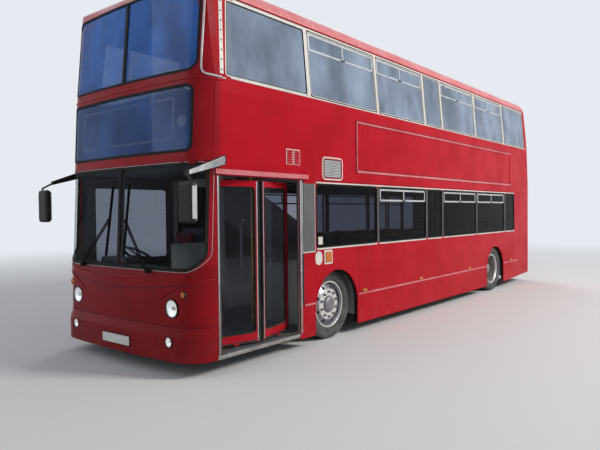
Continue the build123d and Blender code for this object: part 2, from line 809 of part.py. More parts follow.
def wheel_box(axle, inner_y):
    """A wheel box inside the body: a top, two ends and an inner wall."""
    s0, s1 = axle - WHEEL_BOX_HALF, axle + WHEEL_BOX_HALF
    low = LOW_FLOOR - FLOOR_THICK
    outer = block(s0, s1, inner_y, HALF - WALL, low, WHEEL_BOX_TOP)
    hollow = block(
        s0 + WHEEL_BOX_WALL,
        s1 - WHEEL_BOX_WALL,
        inner_y + WHEEL_BOX_WALL,
        HALF,
        low - PLATE,
        WHEEL_BOX_TOP - WHEEL_BOX_WALL,
    )
    return outer - hollow


AXLE_SLOT_HALF = 120
AXLE_SLOT_TOP = 560
axle_slot = block(
    REAR_AXLE - AXLE_SLOT_HALF,
    REAR_AXLE + AXLE_SLOT_HALF,
    REAR_BOX_Y - PLATE,
    REAR_BOX_Y + 2 * WHEEL_BOX_WALL,
    0,
    AXLE_SLOT_TOP,
)
boxes = fuse([p for axle, y in BOX_SPANS for p in both(wheel_box(axle, y))])
save("wheel_boxes", boxes.cut(*both(axle_slot)))

well = block(*STAIR_WELL, -HALF, -STAIR_IN_Y, CEILING - 1, UPPER_FLOOR_TOP + 1)
deck = INNER & block(0, LENGTH, -HALF, HALF, CEILING, UPPER_FLOOR_TOP)
save("upper_floor", deck - well)

# Stairs, which climb forward from behind the right front wheel box
STAIR_RISE = (UPPER_FLOOR_TOP - LOW_FLOOR) / STAIR_RISERS
STAIR_OUT_Y = 1195
STAIR_RAIL_HIGH = 900
STRINGER_HEAD = 500
STRINGER_CLEAR = 60
stair_top = []
for step in range(STAIR_RISERS):
    s = STAIR_FOOT - step * STAIR_GOING
    z = LOW_FLOOR + step * STAIR_RISE
    stair_top += [(s, z), (s, z + STAIR_RISE)]
stair_under = [(s - PLATE, z - PLATE) for s, z in reversed(stair_top[1:])]
landing = [(STAIR_WELL[0], UPPER_FLOOR_TOP), (STAIR_WELL[0], UPPER_FLOOR_TOP - PLATE)]
treads = profile(
    stair_top + landing + stair_under + [(STAIR_FOOT - PLATE, LOW_FLOOR)],
    -STAIR_OUT_Y,
    -STAIR_IN_Y - PLATE,
)
stringer = profile(
    [
        (STAIR_FOOT, LOW_FLOOR),
        (STAIR_FOOT, LOW_FLOOR + STAIR_RISE + STAIR_RAIL_HIGH),
        (STAIR_WELL[0] + STRINGER_HEAD, CEILING),
        (STAIR_WELL[0], CEILING),
        (STAIR_WELL[0], LOW_FLOOR + 6 * STAIR_RISE),
        (FRONT_AXLE + WHEEL_BOX_HALF + STRINGER_CLEAR, WHEEL_BOX_TOP + STRINGER_CLEAR),
        (FRONT_AXLE + WHEEL_BOX_HALF + STRINGER_CLEAR, LOW_FLOOR),
    ],
    -STAIR_IN_Y - PLATE,
    -STAIR_IN_Y,
)
save("staircase", treads)
save("stair_side", stringer)

partition = INNER & block(CAB_REAR, CAB_REAR + PLATE, -HALF, -CAB_IN_Y, ENTRY_FLOOR, CEILING)
floor_clear = profile(FLOOR_TOP + [(BULKHEAD, 0), (0, 0)], -HALF, HALF)
cab_glass = nose_prism(round_box(-HALF + 130, -CAB_IN_Y - 60, 1350, 2050, 40), 0, LENGTH)
cab_side = block(900, CAB_REAR, -CAB_IN_Y - PLATE, -CAB_IN_Y, CAB_PLATFORM, 1300)
platform = INNER & block(120, CAB_REAR, -HALF, -CAB_IN_Y, ENTRY_FLOOR, CAB_PLATFORM)
save("cab_partition", (partition.cut(cab_glass) + cab_side).cut(floor_clear) + (platform - floor_clear))
save(
    "rear_bulkhead",
    INNER & block(BULKHEAD, BULKHEAD + PLATE, -HALF, HALF, HIGH_FLOOR - FLOOR_THICK, CEILING),
)

dash = INNER & profile(
    [(60, CAB_PLATFORM), (560, CAB_PLATFORM), (620, 940), (500, 1075), (60, 1095)], -HALF, 320
)
save("dashboard", dash)

HAND_WHEEL = (790, -650, 1130)
HAND_WHEEL_TILT = 35
HAND_WHEEL_RADIUS = 225
HAND_RIM_RADIUS = 15
SPOKE_WIDTH = 26
COLUMN_RADIUS = 26
COLUMN_LONG = 420
wheel_tilt = Pos(at(HAND_WHEEL[0]), *HAND_WHEEL[1:]) * Rot(0, -HAND_WHEEL_TILT, 0)
hand_wheel = [
    Torus(HAND_WHEEL_RADIUS, HAND_RIM_RADIUS),
    Box(2 * HAND_WHEEL_RADIUS, SPOKE_WIDTH, SPOKE_WIDTH / 2),
    Box(SPOKE_WIDTH, 2 * HAND_WHEEL_RADIUS, SPOKE_WIDTH / 2),
    Cylinder(2 * COLUMN_RADIUS, SPOKE_WIDTH),
    Pos(0, 0, -COLUMN_LONG / 2) * Cylinder(COLUMN_RADIUS, COLUMN_LONG),
]
save("steering_wheel", (wheel_tilt * fuse(hand_wheel)) - dash)

# Seats

SEAT_PITCH_LOW = 760
SEAT_PITCH_UP = 735
CUSHION_HIGH = 450
CUSHION_DEEP = 430
BACK_HIGH = 1020
SEAT_OUT = 1180


def seat(front, y0, y1, floor_z):
    """A double seat on a pedestal: cushion and back in one, facing forward."""
    z = floor_z + SEAT_GAP
    shell = profile(
        [
            (front, z + CUSHION_HIGH),
            (front, z + CUSHION_HIGH - 90),
            (front + CUSHION_DEEP + 60, z + CUSHION_HIGH - 90),
            (front + CUSHION_DEEP + 150, z + BACK_HIGH),
            (front + CUSHION_DEEP + 80, z + BACK_HIGH),
            (front + CUSHION_DEEP - 20, z + CUSHION_HIGH - 20),
        ],
        y0,
        y1,
    )
    middle = (y0 + y1) / 2
    leg = block(front + 120, front + 360, middle - 30, middle + 30, z, z + CUSHION_HIGH - 80)
    return shell + leg


LOWER_SEATS = [  # side, first station, count, floor height
    (1, 3330, 5, LOW_FLOOR),
    (-1, 4400, 4, LOW_FLOOR),
    (1, 8870, 1, HIGH_FLOOR),
    (-1, 8870, 1, HIGH_FLOOR),
]
UPPER_SEATS = [
    (1, 760, 12, UPPER_FLOOR_TOP),
    (-1, 760, 2, UPPER_FLOOR_TOP),
    (-1, 760 + 5 * SEAT_PITCH_UP, 7, UPPER_FLOOR_TOP),
]


def seat_rows(table, pitch):
    """Seats of a deck from a table of sides and counts."""
    pieces = []
    for side, first, count, floor_z in table:
        y0, y1 = sorted((side * 320, side * SEAT_OUT))
        pieces += [seat(first + i * pitch, y0, y1, floor_z) for i in range(count)]
    return pieces


save("lower_seats", fuse(seat_rows(LOWER_SEATS, SEAT_PITCH_LOW)))
save("upper_seats", fuse(seat_rows(UPPER_SEATS, SEAT_PITCH_UP)))
save("driver_seat", seat(1120, -880, -420, CAB_PLATFORM))

POLE_RADIUS = 16
ROOF_OVER = FRONT_LEAN[-1][0]
POLES = [  # station, offset, floor, ceiling, either one past the surface that trims it
    (1860, 330, ENTRY_FLOOR, CEILING),
    (3200, 330, LOW_FLOOR, CEILING),
    (4300, -300, LOW_FLOOR, CEILING),
    (5420, 290, LOW_FLOOR, CEILING),
    (6500, -290, LOW_FLOOR, CEILING),
    (7280, 290, LOW_FLOOR, CEILING),
    (8700, 290, HIGH_FLOOR, CEILING),
    (8700, -290, HIGH_FLOOR, CEILING),
    (2140, -480, UPPER_FLOOR_TOP, ROOF_OVER),
    (4010, -480, UPPER_FLOOR_TOP, ROOF_OVER),
]
poles = []
for s, y, low, high in POLES:
    bar = upright(low + SEAT_GAP, high - SEAT_GAP, s, y, POLE_RADIUS)
    poles.append((bar & INNER) - floor_clear)
save("handrails", fuse(poles))

# Chassis

RAIL_NOTCH = (2150, 3060)
RAIL_LOW = 100
NOTCH_Z = 205
REAR_RAIL_LOW = 400
rail = profile(
    [
        (300, ENTRY_FLOOR - FLOOR_THICK),
        (RAMP[0], ENTRY_FLOOR - FLOOR_THICK),
        (RAMP[1], LOW_FLOOR - FLOOR_THICK),
        (STEP_BACK, LOW_FLOOR - FLOOR_THICK),
        (STEP_BACK + STEP_TREAD, LOW_FLOOR + STEP_RISE - FLOOR_THICK),
        (STEP_BACK + 2 * STEP_TREAD, HIGH_FLOOR - FLOOR_THICK),
        (10300, HIGH_FLOOR - FLOOR_THICK),
        (10300, REAR_RAIL_LOW),
        (7750, REAR_RAIL_LOW),
        (7200, RAIL_LOW),
        (RAIL_NOTCH[1] + 80, RAIL_LOW),
        (RAIL_NOTCH[1], NOTCH_Z),
        (RAIL_NOTCH[0], NOTCH_Z),
        (RAIL_NOTCH[0] - 80, RAIL_LOW),
        (400, RAIL_LOW),
    ],
    RAIL_Y - RAIL_WIDTH / 2,
    RAIL_Y + RAIL_WIDTH / 2,
)
CROSS_MEMBERS = [  # station, underside, top
    (450, 130, ENTRY_FLOOR - FLOOR_THICK),
    (1500, 130, ENTRY_FLOOR - FLOOR_THICK),
    (3300, 150, LOW_FLOOR - FLOOR_THICK),
    (4500, 150, LOW_FLOOR - FLOOR_THICK),
    (5700, 150, LOW_FLOOR - FLOOR_THICK),
    (6900, 150, LOW_FLOOR - FLOOR_THICK),
    (9050, REAR_RAIL_LOW + 30, HIGH_FLOOR - FLOOR_THICK),
    (9420, REAR_RAIL_LOW + 30, HIGH_FLOOR - FLOOR_THICK),
]
CROSS_WIDTH = 60
crosses = [
    INNER & block(s, s + CROSS_WIDTH, -HALF, HALF, low, high) for s, low, high in CROSS_MEMBERS
]
RAIL_IN = RAIL_Y - RAIL_WIDTH / 2
crosses += [
    block(s, s + CROSS_WIDTH, -RAIL_IN, RAIL_IN, REAR_RAIL_LOW, HIGH_FLOOR - FLOOR_THICK)
    for s in (7900, 10240)
]
TOW_Z = 141
TOW_RADIUS = 32
TOW_BORE = 15
TOW_FRONT = 240
TOW_DEPTH = 60
tow_tube = along_x(TOW_FRONT, TOW_FRONT + 2 * TOW_DEPTH, RAIL_Y, TOW_Z, TOW_RADIUS)
tow_bore = along_x(TOW_FRONT - 1, TOW_FRONT + TOW_DEPTH, RAIL_Y, TOW_Z, TOW_BORE)
save("chassis_frame", fuse(both(rail) + [tow_tube]).cut(tow_bore, *crosses))
save("cross_members", fuse(crosses))
ENGINE = (9560, 10160, -850, 450, HIGH_FLOOR - FLOOR_THICK, 1180)
save("engine_block", block(*ENGINE))

AXLE_Z = TYRE_RADIUS
BEAM_HALF = 50
EYE_RADIUS = 46
EYE_Z = (400, 510)


def cross_profile(points, s0, s1):
    """A front view, drawn as offsets and heights, run between two stations."""
    face = make_face(Polyline(*points, close=True))
    return nose_prism(face, s0, s1)


FRONT_BEAM = [  # offset from the centre, height
    (0, 120),
    (690, 120),
    (770, 200),
    (770, 410),
    (900, 410),
    (900, 500),
    (700, 500),
    (690, 260),
    (640, NOTCH_Z),
    (0, NOTCH_Z),
]
half_beam = cross_profile(FRONT_BEAM, FRONT_AXLE - BEAM_HALF, FRONT_AXLE + BEAM_HALF)
eye = upright(*EYE_Z, FRONT_AXLE, KINGPIN_Y, EYE_RADIUS)
pin_hole = upright(0, 2 * AXLE_Z, FRONT_AXLE, KINGPIN_Y, KINGPIN_RADIUS + PIN_PLAY)
left_beam = (half_beam + eye) - pin_hole
save("front_axle_beam", fuse(both(left_beam)))

REAR_HUB_END = 960
REAR_AXLE_HALF = 110
REAR_CASE = [  # offset from the centre, height
    (0, 180),
    (500, 180),
    (600, 330),
    (600, 480),
    (460, 480),
    (450, REAR_RAIL_LOW),
    (0, REAR_RAIL_LOW),
]
rear_half = cross_profile(REAR_CASE, REAR_AXLE - REAR_AXLE_HALF, REAR_AXLE + REAR_AXLE_HALF)
stub = along_y(REAR_CASE[2][0] - 10, REAR_HUB_END, REAR_AXLE, AXLE_Z, REAR_STUB_RADIUS)
save("rear_axle", fuse(both(rear_half + stub)))

# Wheels and tyres

def tyre_at(s, y):
    """A tyre: crown, rounded shoulders, bulged walls and beads."""
    half = TYRE_WIDTH / 2
    tread = (half - 40, TYRE_RADIUS)
    shoulder = (half - 12, TYRE_RADIUS - 14)
    upper = (half - 4, TYRE_RADIUS - 44)
    bulge = (half, TYRE_RADIUS - 80)
    bead = (half - 28, RIM_RADIUS)

    def other(point):
        return -point[0], point[1]

    outline = make_face(
        [
            Line(other(tread), tread),
            ThreePointArc(tread, shoulder, upper),
            ThreePointArc(upper, bulge, bead),
            Line(bead, other(bead)),
            ThreePointArc(other(bead), other(bulge), other(upper)),
            ThreePointArc(other(upper), other(shoulder), other(tread)),
        ]
    )
    return Pos(at(s), y, AXLE_Z) * revolve(Plane.YZ * outline, Axis.Y)


RIM_HALF = 108
STUDS = 10
STUD_CIRCLE = 167
STUD_RADIUS = 14
STUD_LONG = 30
HAND_HOLES = 8
HAND_CIRCLE = 232
HAND_RADIUS = 22
FRONT_WHEEL = [  # offset outward from the tyre's middle, radius
    (-RIM_HALF, RIM_RADIUS),
    (-RIM_HALF, RIM_RADIUS - 14),
    (-RIM_HALF + 24, RIM_WELL),
    (30, RIM_WELL),
    (72, 205),
    (80, 118),
    (-8, 112),
    (-8, FRONT_STUB_RADIUS + RUN_GAP),
    (92, FRONT_STUB_RADIUS + RUN_GAP),
    (92, 0),
    (134, 0),
    (134, 72),
    (122, 100),
    (96, 114),
    (94, 205),
    (52, RIM_WELL + 6),
    (RIM_HALF - 24, RIM_WELL + 6),
    (RIM_HALF, RIM_RADIUS - 14),
    (RIM_HALF, RIM_RADIUS),
]
REAR_WHEEL = [
    (-TWIN_SPACING - RIM_HALF, RIM_RADIUS),
    (-TWIN_SPACING - RIM_HALF, RIM_RADIUS - 14),
    (-TWIN_SPACING - RIM_HALF + 24, RIM_WELL),
    (-230, RIM_WELL),
    (-170, 205),
    (-166, 120),
    (-250, 116),
    (-250, REAR_STUB_RADIUS + RUN_GAP),
    (-100, REAR_STUB_RADIUS + RUN_GAP),
    (-100, 0),
    (46, 0),
    (46, 70),
    (34, 96),
    (0, 108),
    (-136, 120),
    (-140, 205),
    (-100, RIM_WELL),
    (RIM_HALF - 24, RIM_WELL + 2),
    (RIM_HALF, RIM_RADIUS - 14),
    (RIM_HALF, RIM_RADIUS),
    (-TWIN_SPACING / 2 + 40, RIM_RADIUS),
    (-TWIN_SPACING / 2 + 40, RIM_RADIUS - 14),
    (-TWIN_SPACING / 2 - 40, RIM_RADIUS - 14),
    (-TWIN_SPACING / 2 - 40, RIM_RADIUS),
]


def wheel_at(s, y, points, disc_y, side):
    """A wheel with its studs and hand holes, turned about its axle."""
    body = turned([(side * v, r) for v, r in points])
    for i in range(STUDS):
        turn = Rot(0, 360 / STUDS * i, 0)
        place = turn * Pos(0, side * (disc_y + 12), STUD_CIRCLE) * Rot(90, 0, 0)
        body += place * Cylinder(STUD_RADIUS, STUD_LONG)
    holes = []
    for i in range(HAND_HOLES):
        turn = Rot(0, 360 / HAND_HOLES * (i + 0.5), 0)
        place = turn * Pos(0, side * disc_y, HAND_CIRCLE) * Rot(90, 0, 0)
        holes.append(place * Cylinder(HAND_RADIUS, 2 * RIM_HALF))
    return Pos(at(s), y, AXLE_Z) * body.cut(*holes)


for name, side in (("left", 1), ("right", -1)):
    save(f"tyre_front_{name}", tyre_at(FRONT_AXLE, side * FRONT_TYRE_Y))
    save(
        f"tyres_rear_{name}",
        tyre_at(REAR_AXLE, side * REAR_TYRE_Y)
        + tyre_at(REAR_AXLE, side * (REAR_TYRE_Y - TWIN_SPACING)),
    )
    save(f"wheel_front_{name}", wheel_at(FRONT_AXLE, side * FRONT_TYRE_Y, FRONT_WHEEL, 90, side))
    save(f"wheels_rear_{name}", wheel_at(REAR_AXLE, side * REAR_TYRE_Y, REAR_WHEEL, -142, side))

# Steering

ARM_BACK = 220
ROD_Y = 820
ROD_Z = 158
ROD_RADIUS = 18
ROD_EYE_RADIUS = 30
ROD_EYE_HALF = 24
ROD_ARM_UP = 41
BALL_RADIUS = 12
OPEN_PIN_GAP = 5
EYE_GAP = 3
FORK_PLATE = 26


def knuckle(ball_low):
    """Left steering knuckle: fork round the beam's eye, stub axle and dropped steering arm."""
    s, y = FRONT_AXLE, KINGPIN_Y
    low, high = EYE_Z[0] - EYE_GAP, EYE_Z[1] + EYE_GAP
    pin = upright(low - FORK_PLATE, high + FORK_PLATE, s, y, KINGPIN_RADIUS)
    top = upright(high, high + FORK_PLATE, s, y, EYE_RADIUS)
    bottom = upright(low - FORK_PLATE, low, s, y, EYE_RADIUS)
    web_y = y + EYE_RADIUS + 5
    webs = block(s - 40, s + 40, y, web_y + 12, high, high + FORK_PLATE)
    webs += block(s - 40, s + 40, y, web_y + 12, low - FORK_PLATE, low)
    back = block(s - 40, s + 40, web_y, web_y + 14, low - FORK_PLATE, high + FORK_PLATE)
    stub_axle = along_y(web_y + 10, FRONT_TYRE_Y + 90, s, AXLE_Z, FRONT_STUB_RADIUS)
    arm = block(s, s + ARM_BACK + 22, y - 85, y - 55, low - FORK_PLATE, low)
    root = block(s - 40, s + 40, y - 85, y, low - FORK_PLATE, low)
    back_s = s + ARM_BACK
    drop = block(back_s - 22, back_s + 22, y - 85, y - 55, ROD_Z + ROD_ARM_UP + 20, low)
    link_z = (ROD_Z + ROD_ARM_UP, ROD_Z + ROD_ARM_UP + 22)
    eye_top = upright(*link_z, back_s, ROD_Y, 26)
    link = block(back_s - 22, back_s + 22, ROD_Y, y - 55, *link_z)
    ball = upright(ball_low, ROD_Z + ROD_ARM_UP, s + ARM_BACK, ROD_Y, BALL_RADIUS)
    return fuse([pin, top, bottom, webs, back, stub_axle, arm, root, drop, eye_top, link, ball])


save("knuckle_left", knuckle(ROD_Z - ROD_EYE_HALF / 2))
save("knuckle_right", mirror(knuckle(ROD_Z + ROD_EYE_HALF + OPEN_PIN_GAP), about=Plane.XZ))
rod = along_y(-ROD_Y, ROD_Y, FRONT_AXLE + ARM_BACK, ROD_Z, ROD_RADIUS)
eye_z = (ROD_Z - ROD_EYE_HALF, ROD_Z + ROD_EYE_HALF)
for end in both(upright(*eye_z, FRONT_AXLE + ARM_BACK, ROD_Y, ROD_EYE_RADIUS)):
    rod += end
for hole in both(upright(0, 2 * ROD_Z, FRONT_AXLE + ARM_BACK, ROD_Y, BALL_RADIUS + PIN_PLAY)):
    rod -= hole
save("track_rod", rod)

# Doors: each leaf is carried at the middle of its width by arms as long as half its travel

POST_OUT = 1241
LEAF_IN = POST_RADIUS + LEAF_THICK / 2 + 5
DOOR_MIDDLE = (DOOR_FRONT + DOOR_REAR) / 2
POST_FRONT = DOOR_FRONT + 5 + POST_RADIUS
LEAF_END = DOOR_MIDDLE - 3
ARM_LONG = (LEAF_END - LEAF_LEAD - POST_FRONT) / 2
LEAF_FRAME = 62
LEAF_GLASS = 8
LEAF_PIN_RADIUS = 8


def door_arms():
    """Front door post with its top and bottom arms, drawn with the door shut."""
    post = upright(SILL_Z + SEAT_GAP, DOOR_TOP - SEAT_GAP, POST_FRONT, POST_OUT, POST_RADIUS)
    pieces = [post]
    for low, pin in (
        (LEAF_TOP + 12, (LEAF_TOP, LEAF_TOP + 12)),
        (LEAF_BOTTOM - 12 - ARM_THICK, (LEAF_BOTTOM - 12, LEAF_BOTTOM)),
    ):
        pieces.append(
            block(
                POST_FRONT,
                POST_FRONT + ARM_LONG,
                POST_OUT - ARM_WIDTH / 4,
                POST_OUT + ARM_WIDTH / 4,
                low,
                low + ARM_THICK,
            )
        )
        z0, z1 = min(low, pin[0]), max(low + ARM_THICK, pin[1])
        pieces.append(upright(z0, z1, POST_FRONT + ARM_LONG, POST_OUT, LEAF_PIN_RADIUS))
    return fuse(pieces)


def door_leaf():
    """Front door leaf with the door shut: a frame with two lights and a lug above and below."""
    s0, s1 = DOOR_FRONT + 5, LEAF_END
    y = POST_OUT - LEAF_IN
    y0, y1 = y - LEAF_THICK / 2, y + LEAF_THICK / 2
    pivot = POST_FRONT + ARM_LONG
    frame = block(s0, s1, y0, y1, LEAF_BOTTOM, LEAF_TOP)
    light = Pos(0, y1 + WALL, 0) * extrude(
        Plane.XZ
        * round_box(
            at(s1) + LEAF_FRAME, at(s0) - LEAF_FRAME, LEAF_BOTTOM + 110, LEAF_TOP - 75, 45
        ),
        amount=4 * WALL,
    )
    lugs = []
    for low in (LEAF_BOTTOM, LEAF_TOP - ARM_THICK):
        lug = block(pivot - 30, pivot + 30, y, POST_OUT + 16, low, low + ARM_THICK)
        hole = upright(low - 1, low + ARM_THICK + 1, pivot, POST_OUT, LEAF_PIN_RADIUS + PIN_PLAY)
        lugs.append(lug - hole)
    glass_y = (y - LEAF_GLASS / 2, y + LEAF_GLASS / 2)
    glass = light & block(s0, s1, *glass_y, LEAF_BOTTOM, LEAF_TOP)
    return (frame - light) + lugs[0] + lugs[1], glass


def placed_front(piece, pivoted):
    """A front door piece turned from shut to the part-open rest position."""
    post = (at(POST_FRONT), POST_OUT, 0)
    arm_turn = Pos(*post) * Rot(0, 0, DOOR_REST) * Pos(*[-c for c in post])
    if not pivoted:
        return arm_turn * piece
    middle = Vector(at(POST_FRONT + ARM_LONG), POST_OUT, 0)
    moved = (arm_turn * Pos(*middle)).position
    return Pos(*moved) * Rot(0, 0, -DOOR_REST) * Pos(*(-middle)) * piece


def other_leaf(piece):
    """The rear leaf's piece, a mirror image about the middle of the doorway."""
    return mirror(piece, about=Plane(origin=(at(DOOR_MIDDLE), 0, 0), z_dir=(1, 0, 0)))


arms = placed_front(door_arms(), False)
leaf, leaf_glass = [placed_front(piece, True) for piece in door_leaf()]
save("door_arms_front", arms)
save("door_arms_rear", other_leaf(arms))
save("door_leaf_front", leaf)
save("door_leaf_rear", other_leaf(leaf))
save("door_glass_front", leaf_glass)
save("door_glass_rear", other_leaf(leaf_glass))

# Outside fittings

MIRROR_Z = (1590, 1990)
MIRROR_Y = (1258, 1466)
MIRROR_S = (-MIRROR_LEAD, -MIRROR_LEAD + 72)
MIRROR_ROUND = 32
ARM_ROOT_S = UPPER_JOINT + 30
ARM_ROOT_Z = (2187, 2285)
ARM_TIP_S = -40
ARM_TIP_Z = (2052, 2096)
ARM_OUT = 40
STEM_RADIUS = 11
STEM_Y = 1410
STEM_Z = 2012


def strut(start, end, radius):
    """A round bar between two points, with a rounded end."""
    start, end = Vector(*start), Vector(*end)
    bar = Plane(origin=(start + end) / 2, z_dir=end - start) * Cylinder(radius, (end - start).length)
    return bar + Pos(*end) * Sphere(radius)


head_s = sum(MIRROR_S) / 2
head = (
    Pos(at(head_s), sum(MIRROR_Y) / 2, sum(MIRROR_Z) / 2)
    * Box(MIRROR_S[1] - MIRROR_S[0], MIRROR_Y[1] - MIRROR_Y[0], MIRROR_Z[1] - MIRROR_Z[0])
)
head = fillet(head.edges(), MIRROR_ROUND)
mirror_arm = extrude(
    Plane(origin=(0, HALF, 0), x_dir=(1, 0, 0), z_dir=(0, -1, 0))
    * make_face(
        Polyline(
            (at(ARM_ROOT_S), ARM_ROOT_Z[0]),
            (at(ARM_ROOT_S), ARM_ROOT_Z[1]),
            (at(ARM_TIP_S), ARM_TIP_Z[1]),
            (at(ARM_TIP_S), ARM_TIP_Z[0]),
            close=True,
        )
    ),
    amount=-ARM_OUT,
)
tip = (at(ARM_TIP_S + STEM_RADIUS), HALF + ARM_OUT / 2, sum(ARM_TIP_Z) / 2)
elbow = (at(head_s), STEM_Y, STEM_Z)
stem = strut(tip, elbow, STEM_RADIUS) + strut(elbow, (at(head_s), STEM_Y, MIRROR_Z[1] - 20), STEM_RADIUS)
save("mirrors", fuse(both(head + mirror_arm + stem)))

SCREEN_SLOPE = (front_lean(SCREEN_TOP) - front_lean(SCREEN_BOTTOM)) / (SCREEN_TOP - SCREEN_BOTTOM)
WIPERS = [  # pivot offset, pivot height, blade middle offset, blade middle height, blade lean
    (-700, 1088, -160, 1606, 8),
    (570, 1078, 165, 1613, 6),
]
BLADE_LONG = 800
BLADE_WIDTH = 16
WIPER_OUT = 34
WIPER_ARM = 9
WIPER_APART = 13
WIPER_LINK = 46
WIPER_BOSS = 22
wiper_plane = Plane(
    origin=(at(front_lean(SCREEN_BOTTOM) - WIPER_OUT), 0, SCREEN_BOTTOM),
    x_dir=(0, 1, 0),
    z_dir=(1, 0, SCREEN_SLOPE),
)
wipers = []
for py, pz, by, bz, lean in WIPERS:
    reach = math.hypot(by - py, bz - pz)
    turn = math.degrees(math.atan2(bz - pz, by - py))
    middle = Pos((py + by) / 2, (pz + bz) / 2 - SCREEN_BOTTOM)
    arm = Sketch()
    for apart in (-WIPER_APART, WIPER_APART):
        arm += middle * Rot(0, 0, turn) * Pos(0, apart) * Rectangle(reach + 2 * WIPER_ARM, WIPER_ARM)
    for end in (-reach / 2, reach / 2):
        arm += middle * Rot(0, 0, turn) * Pos(end, 0) * Rectangle(2 * WIPER_ARM, WIPER_LINK)
    blade = Pos(by, bz - SCREEN_BOTTOM) * Rot(0, 0, 90 - lean) * Rectangle(BLADE_LONG, BLADE_WIDTH)
    arm = extrude(wiper_plane * arm, amount=12)
    blade = extrude(wiper_plane * blade, amount=-26)
    boss = along_x(front_lean(pz) - WIPER_OUT - 10, bow_station(py, pz) + 10, py, pz, WIPER_BOSS)
    wipers.append((arm + blade + boss) - SKIN)
save("wipers", fuse(wipers))

TRIM_RUNS = [
    (DOOR_REAR + 70, FRONT_AXLE - ARCH_RADIUS),
    (FRONT_AXLE + ARCH_RADIUS, REAR_AXLE - ARCH_RADIUS),
    (REAR_AXLE + ARCH_RADIUS, 9600),
]
mouldings = []
for s0, s1 in TRIM_RUNS:
    mouldings += both(block(s0, s1, HALF, HALF + 9, TRIM_Z - 14, TRIM_Z + 14))
AD_FRAME = (2970, 9140, 2215, 2925)
s0, s1, z0, z1 = AD_FRAME
frame_outer = block(s0, s1, HALF, HALF + 8, z0, z1)
frame_inner = block(s0 + 30, s1 - 30, HALF - 1, HALF + 9, z0 + 40, z1 - 22)
mouldings += both(frame_outer - frame_inner)
SIDE_SIGN = (2189, 2629, 2100, 2382)
SIDE_SIGN_FRAME = 24
SIDE_SIGN_RADIUS = 55
s0, s1, z0, z1 = SIDE_SIGN
sign_outer = round_box(at(s1), at(s0), z0, z1, SIDE_SIGN_RADIUS)
sign_inner = round_box(
    at(s1) + SIDE_SIGN_FRAME,
    at(s0) - SIDE_SIGN_FRAME,
    z0 + SIDE_SIGN_FRAME,
    z1 - SIDE_SIGN_FRAME,
    SIDE_SIGN_RADIUS - SIDE_SIGN_FRAME,
)
mouldings.append(Pos(0, HALF, 0) * extrude(Plane.XZ * (sign_outer - sign_inner), amount=-9))
DRIP_RAIL = (350, 1880, HALF, HALF + 22, 2085, 2140)
mouldings.append(block(*DRIP_RAIL))
save("side_mouldings", fuse(mouldings))

for name, shape in parts.items():
    export_step(shape, f"parts/{name}.step")
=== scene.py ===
"""Looks of a red double decker bus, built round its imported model.

Metres. X is forward, Y is to the door side, Z is up and the ground is at Z = 0.
A station is a distance behind the front of the bumper.
"""

from __future__ import annotations

import json
import logging
import math
from dataclasses import dataclass, field, replace
from enum import Enum
from typing import Any, Callable, Iterable, Sequence

import bmesh
import bpy
from mathutils import Matrix, Vector

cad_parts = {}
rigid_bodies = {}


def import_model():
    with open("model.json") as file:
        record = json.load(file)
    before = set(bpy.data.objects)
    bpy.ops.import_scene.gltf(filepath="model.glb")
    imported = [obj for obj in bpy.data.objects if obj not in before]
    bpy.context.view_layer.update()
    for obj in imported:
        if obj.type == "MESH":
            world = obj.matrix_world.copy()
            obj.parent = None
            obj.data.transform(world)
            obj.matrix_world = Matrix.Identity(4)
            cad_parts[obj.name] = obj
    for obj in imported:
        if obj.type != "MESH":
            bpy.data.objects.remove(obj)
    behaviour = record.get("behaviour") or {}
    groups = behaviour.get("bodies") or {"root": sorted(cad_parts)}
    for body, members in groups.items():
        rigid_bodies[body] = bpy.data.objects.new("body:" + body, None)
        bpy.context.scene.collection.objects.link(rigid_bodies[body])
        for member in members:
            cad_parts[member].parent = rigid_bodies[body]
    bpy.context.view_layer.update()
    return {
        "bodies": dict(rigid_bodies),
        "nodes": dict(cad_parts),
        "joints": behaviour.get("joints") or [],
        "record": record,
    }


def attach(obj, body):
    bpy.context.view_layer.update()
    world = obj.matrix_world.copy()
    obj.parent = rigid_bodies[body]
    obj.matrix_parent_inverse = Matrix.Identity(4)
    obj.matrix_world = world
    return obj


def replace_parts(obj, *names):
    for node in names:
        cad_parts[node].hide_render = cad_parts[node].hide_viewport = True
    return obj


LOG = logging.getLogger("bus")
Colour = tuple[float, float, float]
Point = tuple[float, float, float]
Pair = tuple[float, float]
Outline = Sequence[Pair]


class Side(Enum):
    """The two sides of the bus, by the sign of Y."""

    LEFT = 1
    RIGHT = -1

    def out(self, length: float = 1.0) -> Vector:
        """A vector out of this side, with a length."""
        return Vector((0, self.value * length, 0))


class Relief(Enum):
    """Which group raises a finish's surface."""

    GRAIN = "Grain"
    BRUSH = "Brushed streaks"
    WEAVE = "Moquette weave"
    STUDS = "Studded vinyl"


# Shader graphs


